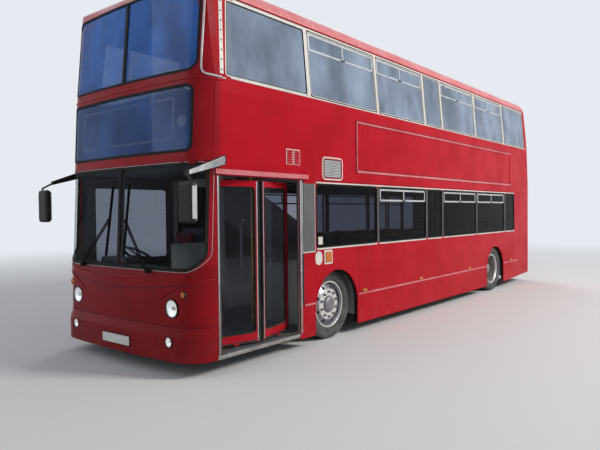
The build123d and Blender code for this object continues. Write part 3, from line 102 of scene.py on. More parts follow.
@dataclass
class Graph:
    """Adds nodes to a node tree and links their sockets."""

    tree: bpy.types.NodeTree

    def add(self, kind: str, sockets: dict[str | int, Any] | None = None, **props: Any) -> bpy.types.Node:
        """Adds one node.

        Args:
            kind: the node's type name.
            sockets: a value or an output socket for each input.
            props: the node's own settings.

        Returns:
            The new node.
        """
        node = self.tree.nodes.new(kind)
        for name, value in props.items():
            setattr(node, name, value)
        for name, value in (sockets or {}).items():
            if isinstance(value, bpy.types.NodeSocket):
                self.tree.links.new(value, node.inputs[name])
            else:
                node.inputs[name].default_value = value
        return node

    def link(self, value: bpy.types.NodeSocket, node: bpy.types.Node, name: str) -> None:
        """Links an output into a node's input."""
        self.tree.links.new(value, node.inputs[name])

    def here(self) -> bpy.types.NodeSocket:
        """The place of the shaded point on the bus."""
        return self.add("ShaderNodeTexCoord").outputs["Object"]

    def noise(self, place: Any, scale: Any, detail: float, rough: float = 0.5) -> bpy.types.Node:
        """Adds a Noise Texture node."""
        return self.add("ShaderNodeTexNoise", {"Vector": place, "Scale": scale, "Detail": detail, "Roughness": rough})

    def math(self, operation: str, *values: Any, clamp: bool = False) -> bpy.types.NodeSocket:
        """Adds a Math node and returns its output."""
        node = self.add("ShaderNodeMath", dict(enumerate(values)), operation=operation, use_clamp=clamp)
        return node.outputs[0]

    def blend(self, share: Any, first: Any, second: Any) -> bpy.types.NodeSocket:
        """Mixes two colours by a share and returns the colour."""
        first, second = ((*c, 1) if isinstance(c, tuple) else c for c in (first, second))
        return self.add("ShaderNodeMix", {0: share, 6: first, 7: second}, data_type="RGBA").outputs[2]

    def ramp(
        self, value: Any, low: float, high: float, to_low: float = 0, to_high: float = 1
    ) -> bpy.types.NodeSocket:
        """Maps one range onto another, smoothly and clamped."""
        node = self.add(
            "ShaderNodeMapRange",
            {0: value, 1: low, 2: high, 3: to_low, 4: to_high},
            interpolation_type="SMOOTHSTEP",
        )
        return node.outputs[0]


def start_group(name: str, inputs: dict[str, float], outputs: Iterable[str]) -> tuple[Graph, Any, Any]:
    """Starts a shader group with float sockets.

    Args:
        name: the group's name.
        inputs: each input's name and default.
        outputs: the outputs' names.

    Returns:
        The group's graph, its input node and its output node.
    """
    tree = bpy.data.node_groups.new(name, "ShaderNodeTree")
    for label, value in inputs.items():
        tree.interface.new_socket(label, in_out="INPUT", socket_type="NodeSocketFloat").default_value = value
    for label in outputs:
        tree.interface.new_socket(label, in_out="OUTPUT", socket_type="NodeSocketFloat")
    graph = Graph(tree)
    return graph, graph.add("NodeGroupInput"), graph.add("NodeGroupOutput")


def build_grain() -> bpy.types.NodeTree:
    """Fine moulded or sprayed grain over broad, slow waves."""
    g, into, out = start_group("Grain", {"Scale": 60}, ("Height", "Mottle"))
    place = g.here()
    fine = g.noise(place, into.outputs["Scale"], 3.0)
    slow = g.noise(place, 1.7, 4.0, 0.6)
    g.link(fine.outputs[0], out, "Height")
    g.link(g.ramp(slow.outputs[0], 0.35, 0.68), out, "Mottle")
    return g.tree


def build_brush() -> bpy.types.NodeTree:
    """Long thin streaks, as on brushed or drawn metal."""
    g, into, out = start_group("Brushed streaks", {"Scale": 60}, ("Height", "Mottle"))
    place = g.here()
    thin = g.add("ShaderNodeVectorMath", {0: place, 1: (0.03, 1, 1)}, operation="MULTIPLY").outputs[0]
    noise = g.noise(thin, into.outputs["Scale"], 5.0)
    blotch = g.noise(place, 9.0, 4.0)
    g.link(noise.outputs[0], out, "Height")
    g.link(g.ramp(blotch.outputs[0], 0.4, 0.66), out, "Mottle")
    return g.tree


def build_weave() -> bpy.types.NodeTree:
    """Seat cloth: a short pile with a small repeated figure."""
    g, into, out = start_group("Moquette weave", {"Scale": 60}, ("Height", "Mottle"))
    place = g.here()
    figure = g.add("ShaderNodeTexVoronoi", {"Vector": place, "Scale": 26.0}, distance="CHEBYCHEV")
    pile = g.noise(place, 420.0, 2.0)
    cords = g.add("ShaderNodeTexWave", {"Vector": place, "Scale": into.outputs["Scale"]}, bands_direction="Y")
    height = g.math("ADD", pile.outputs[0], g.math("MULTIPLY", cords.outputs["Fac"], 0.5))
    g.link(height, out, "Height")
    g.link(g.ramp(figure.outputs["Distance"], 0.22, 0.27), out, "Mottle")
    return g.tree


def build_studs() -> bpy.types.NodeTree:
    """Floor covering with small raised studs and flecks."""
    g, into, out = start_group("Studded vinyl", {"Scale": 60}, ("Height", "Mottle"))
    place = g.here()
    studs = g.add("ShaderNodeTexVoronoi", {"Vector": place, "Scale": into.outputs["Scale"], "Randomness": 0.0})
    flecks = g.noise(place, 300.0, 2.0)
    g.link(g.ramp(studs.outputs["Distance"], 0.3, 0.2), out, "Height")
    g.link(g.ramp(flecks.outputs[0], 0.55, 0.6), out, "Mottle")
    return g.tree


def build_dirt() -> bpy.types.NodeTree:
    """Road dust that thickens towards the ground, with splashes and rain streaks."""
    g, into, out = start_group("Road dirt", {"Top": 0.9, "Amount": 0.6}, ("Dust", "Streaks"))
    place = g.here()
    height = g.add("ShaderNodeSeparateXYZ", {0: place}).outputs["Z"]
    splash = g.noise(place, 7.0, 7.0, 0.65)
    low = g.ramp(g.math("DIVIDE", height, into.outputs["Top"]), 0.1, 1.0, 1.0, 0.0)
    dust = g.math("MULTIPLY", g.math("MULTIPLY", low, g.ramp(splash.outputs[0], 0.3, 0.75)), into.outputs["Amount"])
    long = g.add("ShaderNodeVectorMath", {0: place, 1: (1, 1, 0.06)}, operation="MULTIPLY").outputs[0]
    rain = g.noise(long, 13.0, 5.0, 0.7)
    g.link(dust, out, "Dust")
    g.link(g.ramp(rain.outputs[0], 0.45, 0.8), out, "Streaks")
    return g.tree


def build_smears_and_painted_sky() -> bpy.types.NodeTree:
    """A cloudy layer of smears that also paints the sky's reflection, only above a height."""
    g, into, out = start_group("Glass film", {"From": 2.2, "Amount": 0.3}, ("Film", "High"))
    place = g.here()
    height = g.add("ShaderNodeSeparateXYZ", {0: place}).outputs["Z"]
    above = g.math("GREATER_THAN", height, into.outputs["From"])
    long = g.add("ShaderNodeVectorMath", {0: place, 1: (1, 1, 0.55)}, operation="MULTIPLY").outputs[0]
    cloud = g.noise(long, 1.7, 4.0, 0.55)
    share = g.math("MULTIPLY", g.ramp(cloud.outputs[0], 0.25, 0.75, 0.74, 1.16), into.outputs["Amount"])
    g.link(g.math("MULTIPLY", share, above, clamp=True), out, "Film")
    # Share of the bluer painted sky, which rises with height.
    g.link(g.ramp(height, 2.9, 3.3), out, "High")
    return g.tree


def build_lining() -> bpy.types.NodeTree:
    """The inner faces of the body's shell, by their depth in the sides and by the way they face.

    The bars between the screens' halves count as inner faces too.
    """
    side_lean, ends, front_from, rear_from, inward = 0.0857, 4.82, 3.9, 4.3, -0.03
    windscreen, upper_screen, bar_from, bar_half = (1.645, 0.50), (3.61, 0.42), 4.7, 0.06
    g, into, out = start_group("Lining", {"Depth": 0.022}, ("Inside",))
    coords = g.add("ShaderNodeTexCoord")
    place = g.add("ShaderNodeSeparateXYZ", {0: coords.outputs["Object"]})
    way = g.add("ShaderNodeSeparateXYZ", {0: coords.outputs["Normal"]})
    x, y, z = (place.outputs[axis] for axis in "XYZ")
    lean = g.math("MULTIPLY", g.math("MAXIMUM", g.math("SUBTRACT", z, BODY.lean_z), 0.0), side_lean)
    depth = g.math("SUBTRACT", g.math("SUBTRACT", BODY.half, lean), g.math("ABSOLUTE", y))
    deep = g.math("GREATER_THAN", depth, into.outputs["Depth"])
    middle = g.math("LESS_THAN", g.math("ABSOLUTE", x), ends)
    ahead = g.math("MAXIMUM", g.math("SUBTRACT", x, front_from), 0.0)
    behind = g.math("MINIMUM", g.math("ADD", x, rear_from), 0.0)
    along = g.math("MULTIPLY", g.math("ADD", ahead, behind), way.outputs["X"])
    across = g.math("MULTIPLY", y, way.outputs["Y"])
    above = g.math("MULTIPLY", g.math("MAXIMUM", g.math("SUBTRACT", z, BODY.lean_top), 0.0), way.outputs["Z"])
    facing = g.math("LESS_THAN", g.math("ADD", g.math("ADD", along, across), above), inward)
    screens = g.math("MAXIMUM", g.math("COMPARE", z, *windscreen), g.math("COMPARE", z, *upper_screen))
    ahead_bar = g.math("MULTIPLY", screens, g.math("GREATER_THAN", x, bar_from))
    bar = g.math("MULTIPLY", ahead_bar, g.math("COMPARE", y, 0.0, bar_half))
    facing = g.math("MAXIMUM", facing, bar)
    g.link(g.math("MAXIMUM", g.math("MULTIPLY", deep, middle), facing), out, "Inside")
    return g.tree


def build_wear() -> bpy.types.NodeTree:
    """Scuffs and chips, as thin scratches broken up by patches."""
    g, into, out = start_group("Wear", {"Amount": 0.3}, ("Scuffs",))
    place = g.here()
    bent = g.noise(place, 5.0, 2.0)
    moved = g.add("ShaderNodeVectorMath", {0: place, 1: bent.outputs["Color"]}, operation="ADD").outputs[0]
    lines = g.add("ShaderNodeTexVoronoi", {"Vector": moved, "Scale": 9.0}, feature="DISTANCE_TO_EDGE")
    thin = g.ramp(lines.outputs["Distance"], 0.0, 0.012, 1.0, 0.0)
    patch = g.noise(place, 3.0, 5.0)
    scuffs = g.math("MULTIPLY", g.math("MULTIPLY", thin, g.ramp(patch.outputs[0], 0.5, 0.7)), into.outputs["Amount"])
    g.link(scuffs, out, "Scuffs")
    return g.tree


@dataclass
class Effects:
    """The shared shader groups, each built once."""

    built: dict[str, bpy.types.NodeTree] = field(default_factory=dict)

    def build(self) -> None:
        """Builds every group."""
        for build in (
            build_grain, build_brush, build_weave, build_studs, build_dirt, build_smears_and_painted_sky, build_lining, build_wear,
        ):
            tree = build()
            self.built[tree.name] = tree

    def place(self, graph: Graph, name: str, **values: float) -> bpy.types.Node:
        """Places a group in a material with its own values."""
        node = graph.add("ShaderNodeGroup", node_tree=self.built[name])
        for label, value in values.items():
            node.inputs[label].default_value = value
        return node


# Finishes


@dataclass(frozen=True)
class Finish:
    """One solid finish: its colours, gloss, surface relief, dirt and wear."""

    name: str
    colour: Colour
    second: Colour
    rough: Pair = (0.35, 0.45)
    metallic: float = 0.0
    coat: float = 0.0
    gloss: float = 0.5
    relief: Relief = Relief.GRAIN
    scale: float = 60.0
    lift: float = 0.1
    dirt: float = 0.0
    dirt_top: float = 0.9
    streaks: float = 0.0
    wear: float = 0.0
    sheen: float = 0.0
    glow: float = 0.0
    lining: Colour | None = None
    lining_depth: float = 0.022
    dust_colour: Colour = (0.24, 0.20, 0.17)
    worn_colour: Colour = (0.45, 0.42, 0.40)

    def make(self, effects: Effects) -> bpy.types.Material:
        """Builds the finish's material.

        Args:
            effects: the shared groups.

        Returns:
            The material.
        """
        material = bpy.data.materials.new(self.name)
        material.use_nodes = True
        graph = Graph(material.node_tree)
        shader = material.node_tree.nodes["Principled BSDF"]
        shader.inputs["Metallic"].default_value = self.metallic
        shader.inputs["Coat Weight"].default_value = self.coat
        shader.inputs["Coat Roughness"].default_value = 0.06
        shader.inputs["Specular IOR Level"].default_value = self.gloss
        shader.inputs["Sheen Weight"].default_value = self.sheen
        if self.glow:
            shader.inputs["Emission Color"].default_value = (*self.colour, 1)
            shader.inputs["Emission Strength"].default_value = self.glow
        surface = effects.place(graph, self.relief.value, Scale=self.scale)
        colour = graph.blend(surface.outputs["Mottle"], self.colour, self.second)
        rough = graph.ramp(surface.outputs["Mottle"], 0, 1, *self.rough)
        if self.dirt or self.streaks:
            soil = effects.place(graph, "Road dirt", Top=self.dirt_top, Amount=self.dirt)
            share = graph.math("MULTIPLY", soil.outputs["Streaks"], self.streaks)
            both = graph.math("MAXIMUM", share, soil.outputs["Dust"], clamp=True)
            colour = graph.blend(both, colour, self.dust_colour)
            rough = graph.math("ADD", rough, graph.math("MULTIPLY", both, 0.5), clamp=True)
        if self.wear:
            scuffs = effects.place(graph, "Wear", Amount=self.wear).outputs["Scuffs"]
            colour = graph.blend(scuffs, colour, self.worn_colour)
            rough = graph.math("ADD", rough, graph.math("MULTIPLY", scuffs, 0.4), clamp=True)
        if self.lining:
            inside = effects.place(graph, "Lining", Depth=self.lining_depth).outputs["Inside"]
            colour = graph.blend(inside, colour, self.lining)
            rough = graph.math("ADD", rough, graph.math("MULTIPLY", inside, 0.3), clamp=True)
        graph.link(colour, shader, "Base Color")
        graph.link(rough, shader, "Roughness")
        height = surface.outputs["Height"]
        bump = graph.add("ShaderNodeBump", {"Strength": self.lift, "Distance": 0.002, "Height": height})
        graph.link(bump.outputs[0], shader, "Normal")
        return material


@dataclass(frozen=True)
class Pane:
    """Window glass: a tint that shows what is behind it under a clear gloss, with a painted sky reflection mixed into
    its smears.
    """

    name: str
    tint: Colour
    haze: float = 0.04
    film: float = 0.0
    smear_and_sky_from: float = 0.0
    smear_and_sky_colour: Colour = (0.30, 0.36, 0.46)
    upper_sky_colour: Colour | None = None

    def make(self, effects: Effects) -> bpy.types.Material:
        """Builds the glass, with dust on it and a painted sky reflection in its smears."""
        material = bpy.data.materials.new(self.name)
        material.use_nodes = True
        graph = Graph(material.node_tree)
        shader = material.node_tree.nodes["Principled BSDF"]
        output = material.node_tree.nodes["Material Output"]
        soil = effects.place(graph, "Road dirt", Top=5.0, Amount=self.haze)
        colour = graph.blend(soil.outputs["Dust"], (0.012, 0.014, 0.015), (0.35, 0.33, 0.30))
        graph.link(colour, shader, "Base Color")
        shader.inputs["Roughness"].default_value = 0.02
        shader.inputs["Specular IOR Level"].default_value = 0.25 if self.film else 1.0
        clear = graph.add("ShaderNodeBsdfTransparent", {"Color": (*self.tint, 1)})
        edge = graph.add("ShaderNodeFresnel", {"IOR": 1.52})
        share = graph.math(
            "ADD", edge.outputs[0], graph.math("MULTIPLY", soil.outputs["Streaks"], self.haze), clamp=True
        )
        # Painted reflection: the smears carry a sky colour over the glass, bluer higher up.
        if self.film:
            smear_and_sky_outputs = effects.place(graph, "Glass film", From=self.smear_and_sky_from, Amount=self.film).outputs
            share = graph.math("MAXIMUM", share, smear_and_sky_outputs["Film"], clamp=True)
            sky_tone = graph.blend(smear_and_sky_outputs["High"], self.smear_and_sky_colour, self.upper_sky_colour or self.smear_and_sky_colour)
            colour = graph.blend(smear_and_sky_outputs["Film"], colour, sky_tone)
            graph.link(colour, shader, "Base Color")
        inside = graph.add("ShaderNodeNewGeometry").outputs["Backfacing"]
        share = graph.math("MULTIPLY", share, graph.math("SUBTRACT", 1.0, inside))
        mix = graph.add("ShaderNodeMixShader", {0: share, 1: clear.outputs[0], 2: shader.outputs[0]})
        graph.link(mix.outputs[0], output, "Surface")
        return material


LINING: Colour = (0.15, 0.15, 0.155)
RED_PAINT = Finish(
    "gloss_red_paint", (0.45, 0.007, 0.018), (0.38, 0.005, 0.013), (0.24, 0.38), coat=0.02, gloss=0.04, scale=240,
    lift=0.02, dirt=0.2, dirt_top=0.8, streaks=0.04, wear=0.10, dust_colour=(0.42, 0.09, 0.10),
    worn_colour=(0.50, 0.24, 0.23),
)
FINISHES: dict[str, Finish | Pane] = {
    "red": RED_PAINT,
    "body_red": replace(RED_PAINT, name="body_red_paint", lining=LINING),
    # Painted shade: a darker copy of the side red for the front, which stands in shade.
    "front_red": Finish(
        "front_red_paint", (0.34, 0.006, 0.012), (0.27, 0.004, 0.009), (0.16, 0.28), coat=0.06, gloss=0.08,
        scale=240, lift=0.02, dirt=0.2, dirt_top=0.7, streaks=0.03, wear=0.10, lining=LINING,
        dust_colour=(0.26, 0.08, 0.08),
    ),
    # Painted shade: a still darker copy of the red for the bumper and lower front panel, deeper in shade than the
    # front above.
    "low_red": Finish(
        "lower_front_red_paint", (0.26, 0.004, 0.008), (0.20, 0.003, 0.006), (0.16, 0.28), coat=0.06, gloss=0.08,
        scale=240, lift=0.02, dirt=0.2, dirt_top=0.7, streaks=0.03, wear=0.10, lining=LINING,
        dust_colour=(0.22, 0.06, 0.06),
    ),
    # Faded paint and painted highlight: a pale pink for moulding faces that catch the light, with pale streaks.
    "faded_red": Finish(
        "faded_red_paint", (0.62, 0.20, 0.22), (0.52, 0.11, 0.13), (0.35, 0.5), gloss=0.3, scale=140, lift=0.04,
        streaks=0.2, dust_colour=(0.66, 0.42, 0.40),
    ),
    "shade_red": Finish(
        "shaded_red_paint", (0.10, 0.003, 0.006), (0.07, 0.002, 0.004), (0.4, 0.5), gloss=0.2, scale=200, lift=0.03,
    ),
    # Faded paint and painted glare: a paler red with pale pink streaks for the roof and its edge.
    "roof": Finish(
        "roof_paint", (0.62, 0.16, 0.17), (0.54, 0.10, 0.11), (0.35, 0.5), coat=0.2, scale=140, lift=0.04,
        streaks=0.4, lining=(0.34, 0.34, 0.33), lining_depth=9.0, dust_colour=(0.68, 0.46, 0.44),
    ),
    # Painted reflection: the screens, upper windows and door glass carry sky colours in their smears, from grey blue
    # to deep blue.
    "screen": Pane("screen_glass", (0.88, 0.91, 0.92), 0.05, 0.72, 2.25, (0.030, 0.13, 0.45), (0.035, 0.24, 0.90)),
    "lower": Pane("lower_window_glass", (0.48, 0.49, 0.54), 0.05),
    "upper": Pane("upper_window_glass", (0.74, 0.78, 0.82), 0.10, 0.70, 0.0, (0.40, 0.51, 0.68)),
    "door_glass": Pane("door_glass", (0.72, 0.76, 0.80), 0.05, 0.17, 0.0, (0.32, 0.34, 0.40)),
    "smoke": Finish(
        "smoked_border", (0.17, 0.21, 0.27), (0.14, 0.17, 0.22), (0.04, 0.08), gloss=0.8, scale=3, lift=0.0,
    ),
    "lens": Pane("clear_lens", (0.96, 0.97, 0.97), 0.01),
    "rubber": Finish(
        "black_rubber", (0.010, 0.010, 0.011), (0.018, 0.018, 0.018), (0.55, 0.75), gloss=0.12, scale=300, lift=0.08,
        dirt=0.3, dirt_top=1.0,
    ),
    "trim": Finish(
        "black_trim", (0.012, 0.012, 0.013), (0.020, 0.020, 0.020), (0.35, 0.5), gloss=0.2, scale=350, lift=0.06,
        dirt=0.2, dirt_top=1.0,
    ),
    "black": Finish(
        "matt_black", (0.004, 0.004, 0.005), (0.008, 0.008, 0.008), (0.6, 0.75), gloss=0.1, scale=200, lift=0.1,
    ),
    "tyre": Finish(
        "tyre_rubber", (0.030, 0.030, 0.030), (0.060, 0.058, 0.055), (0.75, 0.9), scale=420, lift=0.2, dirt=0.8,
        dirt_top=1.3, wear=0.2, dust_colour=(0.17, 0.17, 0.165), worn_colour=(0.14, 0.14, 0.135),
    ),
    "alloy": Finish(
        "drawn_aluminium", (0.46, 0.47, 0.48), (0.32, 0.33, 0.34), (0.26, 0.42), metallic=1.0, relief=Relief.BRUSH,
        scale=240, lift=0.08, dirt=0.3, dirt_top=1.0, wear=0.5, worn_colour=(0.2, 0.19, 0.18),
    ),
    "wheel": Finish(
        "grey_wheel_disc", (0.27, 0.26, 0.28), (0.18, 0.175, 0.185), (0.3, 0.5), metallic=0.5, scale=90, lift=0.12,
        dirt=0.25, dirt_top=1.2, wear=0.4, dust_colour=(0.22, 0.21, 0.21), worn_colour=(0.15, 0.14, 0.14),
    ),
    "bright_wheel": Finish(
        "bright_wheel_rim", (0.80, 0.79, 0.77), (0.62, 0.61, 0.59), (0.3, 0.45), metallic=0.35, scale=90, lift=0.1,
        dirt=0.15, dirt_top=1.2, wear=0.5, worn_colour=(0.32, 0.30, 0.28),
    ),
    "rear_wheel": Finish(
        "grey_wheel", (0.40, 0.40, 0.40), (0.26, 0.25, 0.24), (0.4, 0.6), metallic=0.7, scale=90, lift=0.15,
        dirt=0.9, dirt_top=1.2, wear=0.4,
    ),
    # Painted highlight: the reflector glows so that it looks bright, though its bulb is unlit.
    "reflector": Finish(
        "lamp_reflector", (0.86, 0.87, 0.88), (0.78, 0.79, 0.80), (0.10, 0.2), metallic=0.6, scale=60, lift=0.25,
        glow=0.35,
    ),
    "chrome": Finish(
        "bright_metal", (0.75, 0.76, 0.77), (0.62, 0.63, 0.64), (0.07, 0.16), metallic=1.0, scale=80, lift=0.01,
    ),
    "grey": Finish(
        "grey_panel", (0.115, 0.117, 0.12), (0.085, 0.086, 0.09), (0.4, 0.55), scale=200, lift=0.05, dirt=0.2,
        dirt_top=1.6, wear=0.25,
    ),
    "light_grey": Finish(
        "pale_grey_frame", (0.50, 0.51, 0.52), (0.38, 0.39, 0.40), (0.35, 0.5), metallic=0.2, relief=Relief.BRUSH,
        scale=200, lift=0.04, wear=0.2,
    ),
    "white": Finish(
        "cream_trim", (0.70, 0.67, 0.62), (0.58, 0.55, 0.50), (0.35, 0.5), scale=200, lift=0.04, streaks=0.35,
        dust_colour=(0.33, 0.31, 0.29),
    ),
    "pillar": Finish(
        "dark_pillar_strip", (0.060, 0.060, 0.066), (0.040, 0.040, 0.044), (0.4, 0.55), scale=260, lift=0.05,
        wear=0.2, worn_colour=(0.22, 0.21, 0.20),
    ),
    "plate": Finish(
        "blank_plate", (0.78, 0.78, 0.76), (0.72, 0.72, 0.69), (0.25, 0.35), coat=0.4, scale=150, lift=0.02,
        dirt=0.3, dirt_top=0.6,
    ),
    "amber": Finish(
        "amber_lens", (0.56, 0.15, 0.006), (0.44, 0.10, 0.005), (0.14, 0.22), coat=0.3, gloss=0.3, scale=120,
        lift=0.15, glow=0.03,
    ),
    "red_lens": Finish(
        "red_lens", (0.42, 0.008, 0.006), (0.32, 0.006, 0.005), (0.14, 0.22), coat=0.8, scale=120, lift=0.15,
        glow=0.04,
    ),
    "steel": Finish(
        "chassis_steel", (0.030, 0.030, 0.032), (0.065, 0.055, 0.045), (0.55, 0.8), metallic=0.4, scale=80,
        lift=0.25, dirt=0.9, dirt_top=1.2,
    ),
    "casting": Finish(
        "engine_casting", (0.12, 0.12, 0.115), (0.06, 0.055, 0.05), (0.5, 0.7), metallic=0.5, scale=70, lift=0.4,
    ),
    "vinyl": Finish(
        "floor_vinyl", (0.085, 0.09, 0.10), (0.16, 0.165, 0.17), (0.5, 0.65), relief=Relief.STUDS, scale=40,
        lift=0.3,
    ),
    "laminate": Finish(
        "cabin_laminate", (0.40, 0.39, 0.37), (0.33, 0.32, 0.30), (0.35, 0.5), scale=260, lift=0.06, wear=0.15,
    ),
    "dark_laminate": Finish(
        "dashboard_moulding", (0.030, 0.031, 0.034), (0.045, 0.045, 0.048), (0.5, 0.65), scale=420, lift=0.18,
        wear=0.1,
    ),
    "moquette": Finish(
        "seat_moquette", (0.030, 0.035, 0.10), (0.23, 0.03, 0.04), (0.85, 0.95), relief=Relief.WEAVE, scale=120,
        lift=0.5, sheen=0.3,
    ),
    "shell": Finish(
        "seat_shell_moulding", (0.035, 0.036, 0.040), (0.055, 0.055, 0.06), (0.4, 0.55), scale=300, lift=0.1,
        wear=0.2,
    ),
    "yellow": Finish(
        "yellow_rail", (0.72, 0.42, 0.02), (0.62, 0.35, 0.015), (0.3, 0.42), coat=0.3, scale=160, lift=0.04,
        wear=0.3, worn_colour=(0.35, 0.33, 0.3),
    ),
    "step": Finish(
        "worn_sill", (0.40, 0.40, 0.38), (0.25, 0.24, 0.22), (0.4, 0.6), metallic=0.7, relief=Relief.BRUSH,
        scale=160, lift=0.2, dirt=0.7, dirt_top=0.5, wear=0.9, worn_colour=(0.6, 0.57, 0.5),
    ),
}


@dataclass
class Palette:
    """Makes each finish's material the first time that it is used."""

    effects: Effects
    made: dict[str, bpy.types.Material] = field(default_factory=dict)

    def get(self, key: str) -> bpy.types.Material:
        """Returns the material of a finish."""
        if key not in self.made:
            self.made[key] = FINISHES[key].make(self.effects)
        return self.made[key]


# The body's outer form


@dataclass(frozen=True)
class BodyForm:
    """Where the outside of the body is, so that trim sits on it."""

    nose: float = 5.185
    half: float = 1.26
    run: float = 0.34
    radius: float = 0.30
    lean_z: float = 2.95
    lean_top: float = 4.0
    lean_in: float = 0.09
    length: float = 10.5
    rear_lean_z: float = 2.3
    rear_lean: float = 0.10
    lean: tuple[Pair, ...] = (
        (0, 0), (0.418, 0), (0.52, 0.034), (1.14, 0.044), (2.2, 0.095), (3.05, 0.14), (4.4, 0.262),
    )

    def x(self, station: float) -> float:
        """X of a station."""
        return self.nose - station

    def front(self, z: float) -> float:
        """Station of the middle of the front at a height."""
        for (z0, s0), (z1, s1) in zip(self.lean, self.lean[1:]):
            if z <= z1:
                return s0 + (s1 - s0) * (z - z0) / (z1 - z0)
        return self.lean[-1][1]

    def bow(self) -> float:
        """Radius of the bow of the front in plan."""
        inner = self.half - self.radius
        return (self.run**2 + inner**2 - self.radius**2) / (2 * (self.run - self.radius))

    def join(self) -> float:
        """Offset at which the bow meets the corner."""
        inner, bow = self.half - self.radius, self.bow()
        return inner * bow / math.hypot(bow - self.run, inner)

    def plan(self, y: float) -> tuple[float, Vector]:
        """Depth of the front behind its middle at an offset, and the way out there."""
        inner, bow = self.half - self.radius, self.bow()
        if abs(y) <= self.join():
            return bow - math.sqrt(bow**2 - y**2), Vector((math.sqrt(bow**2 - y**2), y, 0)) / bow
        over = min(abs(y) - inner, self.radius)
        root = math.sqrt(max(self.radius**2 - over**2, 0))
        return self.run - root, Vector((root, math.copysign(over, y), 0)) / self.radius

    def on_front(self, y: float, z: float, out: float = 0.0) -> Vector:
        """A point on the front, or a little outside it."""
        depth, normal = self.plan(y)
        return Vector((self.x(self.front(z) + depth), y, z)) + normal * out

    def side_in(self, z: float) -> float:
        """How far the side leans in at a height."""
        return max(z - self.lean_z, 0) * self.lean_in / (self.lean_top - self.lean_z)

    def on_side(self, station: float, z: float, side: Side, out: float = 0.0) -> Vector:
        """A point on a side, or a little outside it."""
        return Vector((self.x(station), side.value * (self.half - self.side_in(z) + out), z))

    def on_rear(self, y: float, z: float, out: float = 0.0) -> Vector:
        """A point on the flat of the rear, or a little outside it."""
        lean = max(z - self.rear_lean_z, 0) * self.rear_lean
        return Vector((self.x(self.length) + lean - out, y, z))

    def spread(self, low: float, high: float, count: int) -> list[float]:
        """Offsets across the front, closer together round its corners."""
        def angle(y: float) -> float:
            flat = self.half - self.radius
            if abs(y) <= flat:
                return y / flat
            return math.copysign(1 + math.asin(min((abs(y) - flat) / self.radius, 1)), y)

        def offset(a: float) -> float:
            flat = self.half - self.radius
            if abs(a) <= 1:
                return a * flat
            return math.copysign(flat + self.radius * math.sin(abs(a) - 1), a)

        a0, a1 = angle(low), angle(high)
        return [offset(a0 + (a1 - a0) * i / (count - 1)) for i in range(count)]


BODY = BodyForm()


# Mesh building


